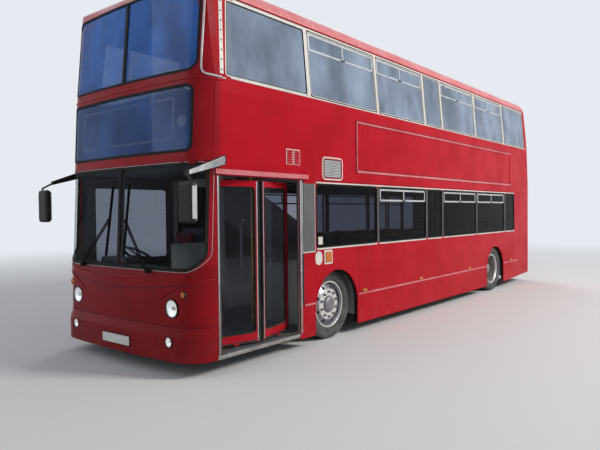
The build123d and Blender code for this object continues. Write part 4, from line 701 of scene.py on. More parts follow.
@dataclass
class Form:
    """A mesh in the making: points, faces and a finish for each face."""

    points: list[Vector] = field(default_factory=list)
    faces: list[tuple[int, ...]] = field(default_factory=list)
    keys: list[str] = field(default_factory=list)

    def take(self, points: Sequence[Vector], faces: Sequence[Sequence[int]], key: str) -> None:
        """Adds points and the faces between them."""
        start = len(self.points)
        self.points += [Vector(p) for p in points]
        self.faces += [tuple(start + i for i in face) for face in faces]
        self.keys += [key] * len(faces)

    def sweep(
        self,
        path: Sequence[Vector],
        outs: Sequence[Vector],
        section: Outline,
        key: str,
        closed: bool = False,
    ) -> None:
        """Runs a section along a path.

        Args:
            path: the path's points.
            outs: the way out of the surface at each point.
            section: the section's points, as offset across the path and height out of the surface.
            key: the finish.
            closed: whether the path runs back to its start.
        """
        count, ring = len(path), len(section)
        points = []
        for i, (p, out) in enumerate(zip(path, outs)):
            before = path[i - 1] if closed or i else p
            after = path[(i + 1) % count] if closed or i < count - 1 else p
            along = (after - before).normalized()
            out = (out - along * out.dot(along)).normalized()
            across = along.cross(out)
            points += [p + across * a + out * b for a, b in section]
        faces = []
        for i in range(count if closed else count - 1):
            j = (i + 1) % count
            for k in range(ring):
                n = (k + 1) % ring
                faces.append((i * ring + k, i * ring + n, j * ring + n, j * ring + k))
        if not closed:
            faces.append(tuple(reversed(range(ring))))
            faces.append(tuple((count - 1) * ring + k for k in range(ring)))
        self.take(points, faces, key)

    def lathe(
        self,
        profile: Outline,
        centre: Vector,
        axis: Vector,
        key: str,
        turns: int,
    ) -> None:
        """Turns a profile, given as distance along the axis and radius, about an axis."""
        axis = axis.normalized()
        first = axis.orthogonal().normalized()
        second = axis.cross(first)
        count = len(profile)
        points = [
            centre + axis * a + (first * math.cos(t) + second * math.sin(t)) * r
            for t in (2 * math.pi * i / turns for i in range(turns))
            for a, r in profile
        ]
        faces = []
        for i in range(turns):
            j = (i + 1) % turns
            for k in range(count - 1):
                faces.append((i * count + k, j * count + k, j * count + k + 1, i * count + k + 1))
        self.take(points, faces, key)

    def rod(self, path: Sequence[Vector], radius: float, key: str, sides: int = 12) -> None:
        """A round bar along a path."""
        out = Vector((0, 0, 1))
        if abs((path[-1] - path[0]).normalized().z) > 0.9:
            out = Vector((1, 0, 0))
        ring = [
            (radius * math.cos(2 * math.pi * k / sides), radius * math.sin(2 * math.pi * k / sides))
            for k in range(sides)
        ]
        self.sweep(path, [out] * len(path), ring, key)

    def slab(self, outline: Sequence[Vector], depth: Vector, key: str, lip: float = 0.0) -> None:
        """A flat plate with its outline at the back, its front edges chamfered by a lip."""
        count = len(outline)
        middle = sum(outline, Vector()) / count
        normal = depth.normalized()
        front = []
        for p in outline:
            pull = middle - p
            pull = (pull - normal * pull.dot(normal)).normalized() * lip
            front.append(p + depth + pull)
        shoulder = [p + depth - normal * lip for p in outline]
        rings = [list(outline), shoulder, front] if lip else [list(outline), front]
        points = [p for ring in rings for p in ring]
        faces = []
        for r in range(len(rings) - 1):
            for i in range(count):
                j = (i + 1) % count
                faces.append((r * count + i, r * count + j, (r + 1) * count + j, (r + 1) * count + i))
        faces.append(tuple((len(rings) - 1) * count + i for i in range(count)))
        faces.append(tuple(reversed(range(count))))
        self.take(points, faces, key)

    def block(self, low: Point, high: Point, key: str, edge: float = 0.004) -> None:
        """A box with softened edges."""
        mesh = bmesh.new()
        bmesh.ops.create_cube(mesh, size=1)
        size = Vector(high) - Vector(low)
        bmesh.ops.scale(mesh, vec=size, verts=mesh.verts)
        bmesh.ops.translate(mesh, vec=(Vector(high) + Vector(low)) / 2, verts=mesh.verts)
        edge = min(edge, min(size) * 0.4)
        bmesh.ops.bevel(mesh, geom=mesh.edges[:], offset=edge, segments=2, profile=0.7, affect="EDGES")
        self.merge(mesh, key)

    def merge(self, mesh: bmesh.types.BMesh, key: str, move: Matrix | None = None) -> None:
        """Adds a finished mesh, moved by a matrix, and frees it unless it was moved."""
        mesh.verts.index_update()
        points = [move @ v.co if move else v.co.copy() for v in mesh.verts]
        self.take(points, [[v.index for v in f.verts] for f in mesh.faces], key)
        if move is None:
            mesh.free()

    def object(self, name: str, body: str, palette: Palette, angle: float = 38) -> bpy.types.Object:
        """Makes the piece and sets it riding.

        Args:
            name: the piece's name.
            body: the body that carries it.
            palette: where its materials come from.
            angle: the angle in degrees above which an edge stays sharp.

        Returns:
            The new object.
        """
        mesh = bpy.data.meshes.new(name)
        mesh.from_pydata([tuple(p) for p in self.points], [], self.faces)
        order = sorted(set(self.keys))
        for key in order:
            mesh.materials.append(palette.get(key))
        mesh.polygons.foreach_set("material_index", [order.index(key) for key in self.keys])
        work = bmesh.new()
        work.from_mesh(mesh)
        bmesh.ops.recalc_face_normals(work, faces=work.faces)
        work.to_mesh(mesh)
        work.free()
        mesh.shade_smooth()
        mesh.set_sharp_from_angle(angle=math.radians(angle))
        piece = bpy.data.objects.new(name, mesh)
        bpy.context.scene.collection.objects.link(piece)
        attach(piece, body)
        LOG.info("%s: %d faces on %s", name, len(self.faces), body)
        return piece


def corners(u0: float, u1: float, v0: float, v1: float, low: float, high: float, steps: int) -> list[Pair]:
    """Points of a rectangle, anticlockwise, with one radius for its low corners and one for its high ones."""
    points = []
    for cu, cv, start, r in (
        (u1 - low, v0 + low, -90, low), (u1 - high, v1 - high, 0, high),
        (u0 + high, v1 - high, 90, high), (u0 + low, v0 + low, 180, low),
    ):
        for i in range(steps + 1):
            a = math.radians(start + 90 * i / steps)
            points.append((cu + r * math.cos(a), cv + r * math.sin(a)))
    return points


def rounded(u0: float, u1: float, v0: float, v1: float, radius: float, steps: int = 5) -> list[Pair]:
    """Points of a rounded rectangle, anticlockwise."""
    radius = min(radius, (u1 - u0) / 2.01, (v1 - v0) / 2.01)
    return corners(u0, u1, v0, v1, radius, radius, steps)


def split_runs(points: Outline, step: float) -> list[Pair]:
    """Divides long runs of a closed outline."""
    result = []
    for (u0, v0), (u1, v1) in zip(points, [*points[1:], points[0]]):
        count = max(1, math.ceil(math.hypot(u1 - u0, v1 - v0) / step))
        result += [(u0 + (u1 - u0) * i / count, v0 + (v1 - v0) * i / count) for i in range(count)]
    return result


BEAD = [(-0.5, 0), (-0.5, 0.55), (-0.3, 0.9), (0, 1), (0.3, 0.9), (0.5, 0.55), (0.5, 0)]


def bead(width: float, height: float, sink: float = 0.002) -> list[Pair]:
    """A rounded moulding's section, let into its surface a little."""
    return [(a * width, b * height if b else -sink) for a, b in BEAD]


def flat(width: float, low: float, high: float, lip: float = 0.0015) -> list[Pair]:
    """A flat strip's section between two heights, with eased edges."""
    half = width / 2
    return [
        (-half, low), (-half, high - lip), (-half + lip, high), (half - lip, high), (half, high - lip), (half, low)
    ]


def side_run(form: Form, points: Outline, side: Side, section: Outline, key: str, closed: bool = False) -> None:
    """Runs a section along a line on a side.

    Args:
        form: the mesh that takes it.
        points: station and height of each point of the line.
        side: which side.
        section: the section's points, as for a sweep.
        key: the finish.
        closed: whether the line runs back to its start.
    """
    form.sweep([BODY.on_side(s, z, side) for s, z in points], [side.out()] * len(points), section, key, closed)


def front_run(
    form: Form, points: Outline, section: Outline, key: str, closed: bool = False, out: float = 0.0
) -> None:
    """Runs a section along offsets and heights on the front, or a little outside it."""
    path = [BODY.on_front(y, z, out) for y, z in points]
    form.sweep(path, [BODY.plan(y)[1] for y, _ in points], section, key, closed)


def rear_run(form: Form, points: Outline, section: Outline, key: str, lean: float = 0.0, closed: bool = True) -> None:
    """Runs a section along offsets and heights on the rear, whose way out leans up a little."""
    path = [BODY.on_rear(y, z) for y, z in points]
    form.sweep(path, [Vector((-1, 0, lean))] * len(path), section, key, closed)


def side_plate(
    form: Form, outline: Outline, side: Side, foot: float, thick: float, key: str, lip: float = 0.0
) -> None:
    """Lays a flat plate on a side, its foot at a height out of the surface."""
    form.slab([BODY.on_side(s, z, side, foot) for s, z in outline], side.out(thick), key, lip)


def front_plate(form: Form, outline: Outline, foot: float, thick: float, key: str, lip: float = 0.0) -> None:
    """Lays a flat plate on the front, its foot at a height out of the surface."""
    form.slab([BODY.on_front(y, z, foot) for y, z in outline], Vector((thick, 0, 0)), key, lip)


def rear_plate(form: Form, outline: Outline, foot: float, depth: Vector, key: str, lip: float = 0.0) -> None:
    """Lays a flat plate on the rear, its foot at a height out of the surface."""
    form.slab([BODY.on_rear(y, z, foot) for y, z in outline], depth, key, lip)


@dataclass
class SubAssembly:
    """A part of the bus that the scene dresses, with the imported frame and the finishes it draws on."""

    frame: dict[str, Any]
    palette: Palette

    def dress(self, key: str, *nodes: str) -> None:
        """Gives whole model pieces a finish."""
        for node in nodes:
            for place in self.frame["nodes"][node].material_slots:
                place.material = self.palette.get(key)

    def piece(self, form: Form, name: str, slot: str, body: str = "body", angle: float = 38) -> bpy.types.Object:
        """Makes a form a piece that rides on a body."""
        return form.object(name, body, self.palette, angle)


# Windows


@dataclass
class SideWindows(SubAssembly):
    """Gaskets, vents and trim lines of the side windows."""

    lower_bays: tuple[float, ...] = (2.03, 3.54, 5.09, 5.70, 7.23, 8.79, 9.43)
    upper_bays: tuple[float, ...] = (1.96, 3.58, 5.08, 5.74, 7.24, 8.77, 10.18)
    upper_first: float = 0.59
    lower_z: Pair = (1.235, 2.035)
    upper_z: Pair = (3.121, 3.945)
    cab_window: tuple[float, float, float] = (0.52, 1.70, 1.05)
    pillar: float = 0.064
    lower_vents: tuple[int, ...] = (1, 3, 4)
    upper_vents: tuple[int, ...] = (0, 1, 3, 4)
    lower_bar_z: float = 1.83
    upper_bar_z: float = 3.70

    def outline(self, s0: float, s1: float, z0: float, z1: float) -> list[Pair]:
        """The edge of a window, as stations and heights."""
        return rounded(s0, s1, z0, z1, 0.055)

    def gasket(self, form: Form, outline: Outline, side: Side, key: str, width: float) -> None:
        """Runs a gasket round a window's edge."""
        side_run(form, outline, side, flat(width, -0.010, 0.004), key, closed=True)

    def catch(self, form: Form, s0: float, s1: float, bar_z: float, side: Side) -> None:
        """A finger catch on the middle rail of an opening vent."""
        middle = (s0 + s1) / 2
        ring = rounded(middle - 0.045, middle + 0.045, bar_z + 0.004, bar_z + 0.022, 0.006)
        side_plate(form, ring, side, -0.003, 0.009, "trim", 0.002)

    def rail(self, form: Form, s0: float, s1: float, z: float, side: Side, width: float, key: str) -> None:
        """A level strip on a side."""
        side_run(form, [(s0, z), (s1, z)], side, flat(width, -0.003, 0.005, 0.002), key)

    def post(self, form: Form, s: float, z0: float, z1: float, side: Side, width: float, key: str) -> None:
        """An upright strip between two windows."""
        side_run(form, [(s, z0), (s, z1)], side, flat(width, -0.003, 0.0045, 0.002), key)

    def deck(self, bays: Sequence[float], zs: Pair) -> list[tuple[float, float, float, float]]:
        """Each window's edges in a row of bays."""
        half = self.pillar / 2
        return [(s0 + half, s1 - half, *zs) for s0, s1 in zip(bays, bays[1:])]

    def build(self) -> None:
        """Builds the trim of all side windows."""
        for side in Side:
            self.lower_trim(side)
            self.upper_trim(side)
        self.dress("lower", "lower_glazing")
        self.dress("upper", "upper_glazing", "exit_glass")
        self.dress("light_grey", "vent_frames")

    def lower_trim(self, side: Side) -> None:
        """Dark pillars, gaskets and pale sills of the lower deck."""
        form = Form()
        windows = self.deck(self.lower_bays, self.lower_z)
        bays = self.lower_bays
        if side is Side.RIGHT:
            windows, bays = windows[1:], bays[1:]
            windows.append((*self.cab_window, self.lower_z[1]))
        for window in windows:
            self.gasket(form, self.outline(*window), side, "rubber", 0.020)
        for s in bays[1:-1]:
            self.post(form, s, *self.lower_z, side, self.pillar - 0.012, "pillar")
        for index in self.lower_vents:
            s0, s1, *_ = self.deck(self.lower_bays, self.lower_z)[index]
            self.catch(form, s0, s1, self.lower_bar_z, side)
        for s0, s1 in zip(bays, bays[1:]):
            self.rail(form, s0 + 0.034, s1 - 0.034, self.lower_z[0] - 0.018, side, 0.022, "white")
        self.rail(form, bays[0] + 0.02, bays[-1] - 0.02, self.lower_z[1] + 0.019, side, 0.018, "white")
        self.piece(form, f"lower_window_trim_{side.name.lower()}", "black_trim")

    def upper_trim(self, side: Side) -> None:
        """Cream pillars, frames and gaskets of the upper deck."""
        form = Form()
        z0, z1 = self.upper_z
        windows = self.deck(self.upper_bays, self.upper_z)
        for window in windows:
            s0, s1, _, _ = window
            self.gasket(form, self.outline(*window), side, "rubber", 0.012)
            frame = self.outline(s0 + 0.008, s1 - 0.008, z0 + 0.008, z1 - 0.008)
            side_run(form, frame, side, flat(0.014, -0.010, 0.002), "white", closed=True)
        side_run(form, self.first_upper(0.0, 0.050), side, flat(0.016, -0.004, 0.005), "white", closed=True)
        side_run(form, self.first_upper(0.012, 0.050), side, flat(0.009, -0.006, 0.003), "rubber", closed=True)
        edge = self.first_upper(0.016, 0.050)
        border = [(s, z) for s, z in edge if s < self.upper_first + 0.06]
        border += [(s + 0.064, z) for s, z in reversed(border)]
        side_plate(form, border, side, -0.001, 0.003, "smoke")
        for s in self.upper_bays[:-1]:
            self.post(form, s, z0 - 0.01, z1 + 0.02, side, self.pillar - 0.008, "white")
        last = self.upper_bays[-1]
        self.rail(form, self.upper_first + 0.02, last + 0.02, z0 - 0.016, side, 0.016, "white")
        self.rail(form, self.upper_first + 0.13, last + 0.02, z1 + 0.017, side, 0.022, "white")
        self.rail(form, self.upper_first + 0.13, last + 0.02, z1 + 0.036, side, 0.008, "black")
        for index in self.upper_vents:
            s0, s1, _, _ = windows[index]
            self.catch(form, s0, s1, self.upper_bar_z, side)
        self.piece(form, f"upper_window_trim_{side.name.lower()}", "black_trim")

    def first_upper(self, inset: float = 0.0, grow: float = 0.0) -> list[Pair]:
        """The edge of the front upper side window, whose front leans with the front.

        Args:
            inset: how far inside the opening.
            grow: how far its front edge stands before the opening's.

        Returns:
            Stations and heights.
        """
        z0, z1 = self.upper_z
        lean = BODY.front(z1) - BODY.front(z0)
        first, back = self.upper_first - grow, self.upper_bays[0]
        base = rounded(first + inset, back - self.pillar / 2 - inset, z0 + inset, z1 - inset, 0.035)
        return [(s + lean * (z - z0) / (z1 - z0) * (back - s) / (back - first), z) for s, z in base]


# Front


@dataclass
class FrontEnd(SubAssembly):
    """The front: its screens, mouldings, plate and display box."""

    screen: tuple[float, float, float] = (1.228, 1.105, 2.185)
    upper_screen: tuple[float, float, float] = (1.135, 3.15, 4.065)
    sign: tuple[float, float, float] = (1.105, 2.325, 2.995)
    plate: tuple[float, float, float] = (0.26, 0.242, 0.353)
    swage_end: float = 1.156
    swage_low: Pair = (0.888, 0.995)
    swage_top: Pair = (0.966, 1.085)
    brow_points: tuple[Pair, ...] = ((0.724, 0.793), (0.930, 0.908), (1.160, 0.985))

    def curve(
        self, form: Form, line: Callable[[float], float], y0: float, y1: float, section: Outline, key: str, count: int
    ) -> None:
        """Runs a section along a line across the front, given as height over offset."""
        front_run(form, [(y, line(y)) for y in BODY.spread(y0, y1, count)], section, key)

    def screen_outline(self, half: float, z0: float, z1: float, low: float, high: float) -> list[Pair]:
        """A whole screen's edge with different radii below and above."""
        return split_runs(corners(-half, half, z0, z1, low, high, 8), 0.12)

    def band(self, form: Form, outline: Outline, width: float, low: float, high: float, key: str) -> None:
        """Runs a flat band round an outline on the front."""
        front_run(form, outline, flat(width, low, high), key, closed=True)

    def build(self) -> None:
        """Builds the front's trim and dresses its panels."""
        form = Form()
        for (half, z0, z1), grow, corners, strip, key in (
            (self.screen, 0.0, (0.19, 0.06), (0.036, -0.012, 0.005), "rubber"),
            (self.screen, 0.022, (0.2, 0.07), (0.006, -0.003, 0.004), "light_grey"),
            (self.upper_screen, 0.0, (0.11, 0.15), (0.026, -0.012, 0.004), "rubber"),
            (self.sign, 0.0, (0.07, 0.07), (0.030, -0.012, 0.004), "rubber"),
        ):
            self.band(form, self.screen_outline(half + grow, z0 - grow, z1 + grow, *corners), *strip, key)
        for _, z0, z1 in (self.screen, self.upper_screen):
            path = [BODY.on_front(0, z0 + (z1 - z0) * i / 8) for i in range(9)]
            form.sweep(path, [Vector((1, 0, 0))] * 9, flat(0.052, -0.010, 0.006, 0.003), "rubber")
        self.piece(form, "screen_gaskets", "black_trim")
        self.mouldings()
        self.number_plate()
        self.display_box()
        # Painted shade: the bumper and lower front panel take the darkest copy of the red.
        self.dress("low_red", "front_bumper", "front_panel")
        # Painted shade: the screen pillars, display panel and upper front take the darker copy of the red.
        self.dress("front_red", "screen_pillars", "destination_panel", "upper_front")
        self.dress("screen", "front_glazing")
        self.dress("black", "wipers")

    def swage(self, low: bool, lift: float) -> Callable[[float], float]:
        """The lower or the upper edge of the raised band, as height over offset, moved by a lift."""
        middle, end = self.swage_low if low else self.swage_top
        rise = end - middle
        radius = (self.swage_end**2 + rise**2) / (2 * rise)
        return lambda y: middle + radius - math.sqrt(radius**2 - y**2) + lift

    def brow(self, y: float) -> float:
        """Height of the crease over a head lamp at an offset, through three points."""
        (y0, z0), (y1, z1), (y2, z2) = self.brow_points
        return (
            z0 * (y - y1) * (y - y2) / ((y0 - y1) * (y0 - y2))
            + z1 * (y - y0) * (y - y2) / ((y1 - y0) * (y1 - y2))
            + z2 * (y - y0) * (y - y1) / ((y2 - y0) * (y2 - y1))
        )

    def mouldings(self) -> None:
        """Painted shadow lines and painted highlight beads along the band and the brows, and creases, gutters and
        beads of the front.
        """
        form = Form()
        # Painted shadow under the band's lower edge, and beads in the lighter side red along both edges as painted
        # highlights.
        for low, lift, key, width, height in (
            (True, -0.010, "shade_red", 0.016, 0.0004),
            (False, -0.006, "red", 0.012, 0.0125),
            (True, 0.004, "red", 0.010, 0.0125),
        ):
            self.curve(form, self.swage(low, lift), -1.14, 1.14, bead(width, height), key, 60)
        for side in Side:
            ys = [side.value * (0.73 + 0.42 * i / 16) for i in range(17)]
            # Painted shadow under each brow, then a bead in the lighter side red as its painted highlight.
            for lift, key, height in ((-0.013, "shade_red", 0.0006), (0.003, "red", 0.0125)):
                front_run(form, [(y, self.brow(abs(y)) + lift) for y in ys], bead(0.010, height), key)
            gutter = [(1.166, 4.03 - 0.09 * i) for i in range(10)]
            gutter += [
                (1.168, 3.16), (1.178, 3.125), (1.200, 3.105), (1.228, 3.098), (1.244, 3.094), (1.254, 3.090),
                (1.2594, 3.088),
            ]
            front_run(form, [(side.value * y, z) for y, z in gutter], bead(0.020, 0.011), "light_grey")
            side_run(form, [(0.482, 3.088), (0.535, 3.086)], side, bead(0.015, 0.010), "light_grey")
        edge = 1.259
        for level, y0, y1, section, key, count in (
            (1.004, -edge, -1.17, bead(0.010, 0.003), "front_red", 8),
            (1.004, 1.17, edge, bead(0.010, 0.003), "front_red", 8),
            (0.519, -edge, edge, flat(0.005, -0.002, 0.001, 0.0004), "black", 60),
            (2.224, -edge, edge, bead(0.016, 0.005), "front_red", 60),
            (3.062, -edge, edge, bead(0.022, 0.007), "front_red", 60),
        ):
            self.curve(form, lambda y: level, y0, y1, section, key, count)
        for side in Side:
            upright = [(side.value * 1.247, 2.3 + 0.82 * i / 8) for i in range(9)]
            front_run(form, upright, bead(0.014, 0.005), "front_red")
        self.piece(form, "front_mouldings", "red_paint")

    def number_plate(self) -> None:
        """The blank number plate and its frame."""
        half, z0, z1 = self.plate
        form = Form()
        outline = split_runs(rounded(-half, half, z0, z1, 0.012, 3), 0.1)
        front_plate(form, outline, -0.002, 0.012, "trim", 0.003)
        inner = split_runs(rounded(-half + 0.006, half - 0.006, z0 + 0.006, z1 - 0.006, 0.010, 3), 0.1)
        front_plate(form, inner, 0.008, 0.0055, "plate", 0.001)
        self.piece(form, "front_plate", "black_trim")

    def display_box(self) -> None:
        """The dark box behind the display's glass, with its inner frame and a small round face."""
        half, z0, z1 = self.sign
        form = Form()
        back = split_runs(rounded(-half + 0.02, half - 0.02, z0 + 0.01, z1 - 0.01, 0.05), 0.2)
        front_plate(form, back, -0.16, 0.006, "black")
        rim = split_runs(rounded(-half + 0.17, half - 0.30, z0 + 0.14, z1 - 0.10, 0.03), 0.2)
        front_run(form, rim, flat(0.022, -0.02, 0.002), "white", closed=True, out=-0.05)
        front_plate(form, rim, -0.07, 0.003, "black")
        spot = BODY.on_front(half - 0.16, (z0 + z1) / 2 - 0.02, -0.04)
        form.lathe(
            [(-0.02, 0.055), (0.0, 0.060), (0.004, 0.052), (0.002, 0.0)], spot, Vector((1, 0.1, 0)), "white", 28
        )
        self.piece(form, "display_box", "black_trim")


@dataclass
class Lamps(SubAssembly):
    """Head, fog, turn, marker and rear lamps."""

    head: tuple[float, float, float] = (0.898, 0.706, 0.100)
    fog: tuple[float, float, float] = (0.886, 0.364, 0.055)
    turn: tuple[float, float, float] = (1.052, 0.856, 0.038)
    rear_y: float = 1.09
    rear_z: tuple[float, ...] = (0.82, 0.95, 1.08, 1.21)
    rear_radius: float = 0.052
    markers: tuple[float, ...] = (3.16, 4.86, 6.85, 9.16)

    def ring(self, form: Form, centre: Vector, axis: Vector, r: float, key: str) -> None:
        """A raised ring round a lamp."""
        section = [(-0.02, r), (0.008, r), (0.011, r - 0.003), (0.010, r * 0.9), (0.0, r * 0.88)]
        form.lathe(section, centre, axis, key, 56)

    def bowl(self, form: Form, y: float, z: float, r: float) -> None:
        """A bowl with a bulb, a ring and a domed lens; the bowl's glow is painted brightness and the bulb is unlit.
        """
        face = BODY.on_front(y, z, 0.0)
        centre = Vector((face.x, y, z))
        axis = Vector((1, 0, 0))
        self.ring(form, centre, axis, r, "trim")
        collar = [(0.0, r * 0.89), (0.006, r * 0.88), (0.006, r * 0.83), (-0.003, r * 0.82)]
        form.lathe(collar, centre, axis, "chrome", 56)
        dish = [(-0.036 + 0.034 * (0.2 * i) ** 2, r * 0.83 * 0.2 * i) for i in range(6)]
        form.lathe(dish, centre, axis, "reflector", 56)
        bulb = [(-0.034, r * 0.22), (-0.016, r * 0.20), (-0.008, r * 0.12), (-0.006, 0.0)]
        form.lathe(bulb, centre, axis, "white", 32)
        turns = [math.pi / 2 * t for t in (1, 0.8, 0.6, 0.4, 0.2, 0)]
        dome = [(0.004 + 0.009 * math.cos(t), r * 0.86 * math.sin(t)) for t in turns]
        form.lathe(dome, centre, axis, "lens", 56)

    def lens(self, form: Form, centre: Vector, axis: Vector, r: float, key: str) -> None:
        """A coloured dome within a dark ring."""
        self.ring(form, centre, axis, r, "trim")
        dome = [(0.003, r * 0.92), (0.010, r * 0.8), (0.014, r * 0.45), (0.015, 0)]
        form.lathe(dome, centre, axis, key, 36)

    def build(self) -> None:
        """Builds the front and rear lamps, which stand for the plain ones, and the side markers."""
        form = Form()
        for side in Side:
            for y, z, r in (self.head, self.fog):
                self.bowl(form, side.value * y, z, r)
            y, z, r = self.turn
            face = BODY.on_front(side.value * y, z, 0.0)
            self.lens(form, Vector((face.x, side.value * y, z)), Vector((1, 0, 0)), r, "amber")
        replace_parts(self.piece(form, "front_lamp_units", "clear_lamp"), "front_lamps")
        form = Form()
        for side in Side:
            for z in self.rear_z:
                key = "amber" if z == self.rear_z[-1] else "white" if z == self.rear_z[0] else "red_lens"
                self.lens(form, BODY.on_rear(side.value * self.rear_y, z), Vector((-1, 0, 0)), self.rear_radius, key)
        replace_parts(self.piece(form, "rear_lamp_units", "red_lamp"), "rear_lamps")
        form = Form()
        for side in Side:
            for station in self.markers:
                outline = rounded(station - 0.056, station + 0.056, 0.560, 0.606, 0.012)
                side_plate(form, outline, side, -0.002, 0.018, "amber", 0.006)
        self.piece(form, "side_markers", "clear_lamp")


@dataclass
class Panels(SubAssembly):
    """The body's painted sides with their joints, arch lips, strips and small fittings."""

    axles: Pair = (2.505, 8.225)
    arch_radius: float = 0.49
    arch_apex: float = 0.937
    strip_s: float = 0.484
    long_frame: tuple[float, float, float, float] = (2.97, 9.14, 2.215, 2.925)
    trim_runs: tuple[Pair, ...] = ((1.80, 2.01), (3.0, 7.73), (8.72, 9.6))
    trim_z: float = 0.542
    arch_lows: Pair = (0.155, 0.175)
    left_joints: tuple[float, ...] = (2.0, 5.57, 7.23)
    right_joints: tuple[float, ...] = (1.9, 3.8, 5.57, 7.23)
    lower_joints: tuple[float, ...] = (3.02, 4.33, 5.57, 6.85, 9.0)
    skirt_joints: tuple[float, ...] = (4.2, 5.4, 6.6)
    rear_joint: float = 10.231

    def arch(self, form: Form, axle: float, side: Side, low: float) -> None:
        """A lip round a wheel arch."""
        r, shrink = self.arch_radius, 0.972
        centre = self.arch_apex - r
        turns = [math.pi * i / 28 for i in range(29)]
        outline = [(axle + r * math.cos(a), centre + r * math.sin(a)) for a in turns]
        outline = [(axle + r, low), *outline, (axle - r, low)]
        side_run(form, outline, side, flat(0.026, -0.03, 0.006, 0.004), "red")
        inner = [
            (axle + (s - axle) * shrink, centre + (z - centre) * shrink if z > centre else z) for s, z in outline
        ]
        side_run(form, inner, side, flat(0.012, -0.05, -0.012), "black")

    def seam(self, form: Form, points: Outline, side: Side, key: str = "black", width: float = 0.005) -> None:
        """A thin dark joint between panels."""
        side_run(form, points, side, flat(width, -0.002, 0.0008, 0.0004), key)

    def build(self) -> None:
        """Builds the sides' trim and dresses the body panels."""
        for side in Side:
            form = Form()
            for axle, low in zip(self.axles, self.arch_lows):
                self.arch(form, axle, side, low)
            for stations, z0, z1 in (
                (self.left_joints if side is Side.LEFT else self.right_joints, 2.23, 3.08),
                (self.lower_joints, 0.56, 1.19),
                (self.skirt_joints, 0.15, 0.53),
            ):
                for station in stations:
                    self.seam(form, [(station, z0), (station, z1)], side)
            first, last = 2.04 if side is Side.LEFT else 0.42, self.rear_joint - 0.011
            for s, z in ((first, 2.078), (9.6, 1.40)):
                self.seam(form, [(s, z), (last, z)], side)
            self.seam(form, [(self.rear_joint, 0.22), (self.rear_joint, 3.95)], side)
            self.piece(form, f"panel_joints_{side.name.lower()}", "red_paint")
        self.faded_highlit_and_shadow_lines()
        self.left_fittings()
        self.right_fittings()
        self.corner_strips()
        self.dress("body_red", "side_skirts", "left_lower_side", "right_lower_side", "left_upper_side")
        self.dress("body_red", "right_upper_side", "rear_lower", "rear_upper")
        self.dress("red", "side_mouldings", "engine_cover", "emergency_exit")
        self.dress("roof", "roof")

    def faded_highlit_and_shadow_lines(self) -> None:
        """Faded faces of the mouldings with painted highlight, and painted shadow lines of the long frame on each
        side.
        """
        form = Form()
        for side in Side:
            for s0, s1 in self.trim_runs:
                side_run(
                    form, [(s0, self.trim_z), (s1, self.trim_z)], side, flat(0.026, 0.006, 0.0105, 0.002), "faded_red"
                )
            s0, s1, z0, z1 = self.long_frame
            for z, height in ((z1 + 0.006, 0.012), (z0 + 0.046, 0.010)):
                self.seam(form, [(s0 + 0.02, z), (s1 - 0.02, z)], side, "shade_red", height)
            self.seam(form, [(s0 - 0.005, z0), (s0 - 0.005, z1)], side, "shade_red", 0.010)
            self.seam(form, [(s0 + 0.036, z0 + 0.04), (s0 + 0.036, z1 - 0.03)], side, "shade_red", 0.012)
            # Pink faces of the long frame: faded paint and painted highlight.
            for ends, width in (
                (((s0 + 0.004, z1 - 0.014), (s1 - 0.004, z1 - 0.014)), 0.024),
                (((s0 + 0.004, z0 + 0.018), (s1 - 0.004, z0 + 0.018)), 0.030),
                (((s0 + 0.014, z0 + 0.01), (s0 + 0.014, z1 - 0.01)), 0.020),
            ):
                side_run(form, ends, side, flat(width, 0.004, 0.0128, 0.002), "faded_red")
        # The drip rail over the door in faded pink, partly painted highlight.
        for z, width, height in ((2.1125, 0.053, 0.0228), (2.129, 0.016, 0.0245), (2.092, 0.008, 0.0238)):
            side_run(form, [(0.352, z), (1.878, z)], Side.LEFT, flat(width, 0.019, height, 0.0008), "faded_red")
        self.piece(form, "faded_mouldings", "red_paint")

    def left_fittings(self) -> None:
        """Pillar panel, grille, side display, lamp and blank labels of the door side."""
        side = Side.LEFT
        form = Form()
        side_plate(form, rounded(1.80, 2.012, 1.197, 2.035, 0.012), side, -0.002, 0.006, "grey", 0.002)
        for s in (1.775, 2.02):
            side_run(form, [(s, 1.19), (s, 2.04)], side, flat(0.012, -0.002, 0.009), "light_grey")
        side_run(form, [(1.775, 1.190), (2.026, 1.190)], side, flat(0.014, -0.002, 0.008), "white")
        for column in (1.487, 1.622):
            side_plate(form, rounded(column, column + 0.12, 2.249, 2.433, 0.008), side, -0.002, 0.004, "white", 0.001)
            for i in range(6):
                low = 2.262 + 0.028 * i
                slat = rounded(column + 0.01, column + 0.11, low, low + 0.020, 0.004, 2)
                form.slab(
                    [BODY.on_side(s, z, side, 0.001) for s, z in slat], Vector((0, 0.007, -0.006)), "red", 0.002
                )
        display = rounded(2.192, 2.626, 2.103, 2.379, 0.052)
        side_run(form, display, side, flat(0.021, -0.002, 0.0105, 0.004), "white", closed=True)
        side_plate(form, rounded(2.198, 2.620, 2.109, 2.373, 0.045), side, -0.001, 0.006, "black", 0.001)
        side_plate(form, rounded(2.217, 2.601, 2.128, 2.354, 0.03), side, 0.003, 0.0045, "grey", 0.001)
        for i in range(11):
            z = 2.142 + 0.0198 * i
            side_run(form, [(2.232, z), (2.586, z)], side, flat(0.0105, 0.006, 0.0082, 0.0004), "light_grey")
        for box, foot, thick, key, lip in (
            ((2.214, 2.392, 1.012, 1.195, 0.02), -0.002, 0.009, "white", 0.003),
            ((2.238, 2.368, 1.036, 1.171, 0.014), 0.004, 0.014, "amber", 0.006),
            ((2.030, 2.176, 1.015, 1.188, 0.07, 8), -0.001, 0.0025, "white", 0.0006),
            ((2.10, 2.19, 1.27, 1.37, 0.006), -0.004, 0.0025, "white", 0.0006),
        ):
            side_plate(form, rounded(*box), side, foot, thick, key, lip)
        self.piece(form, "door_side_fittings", "black_trim")

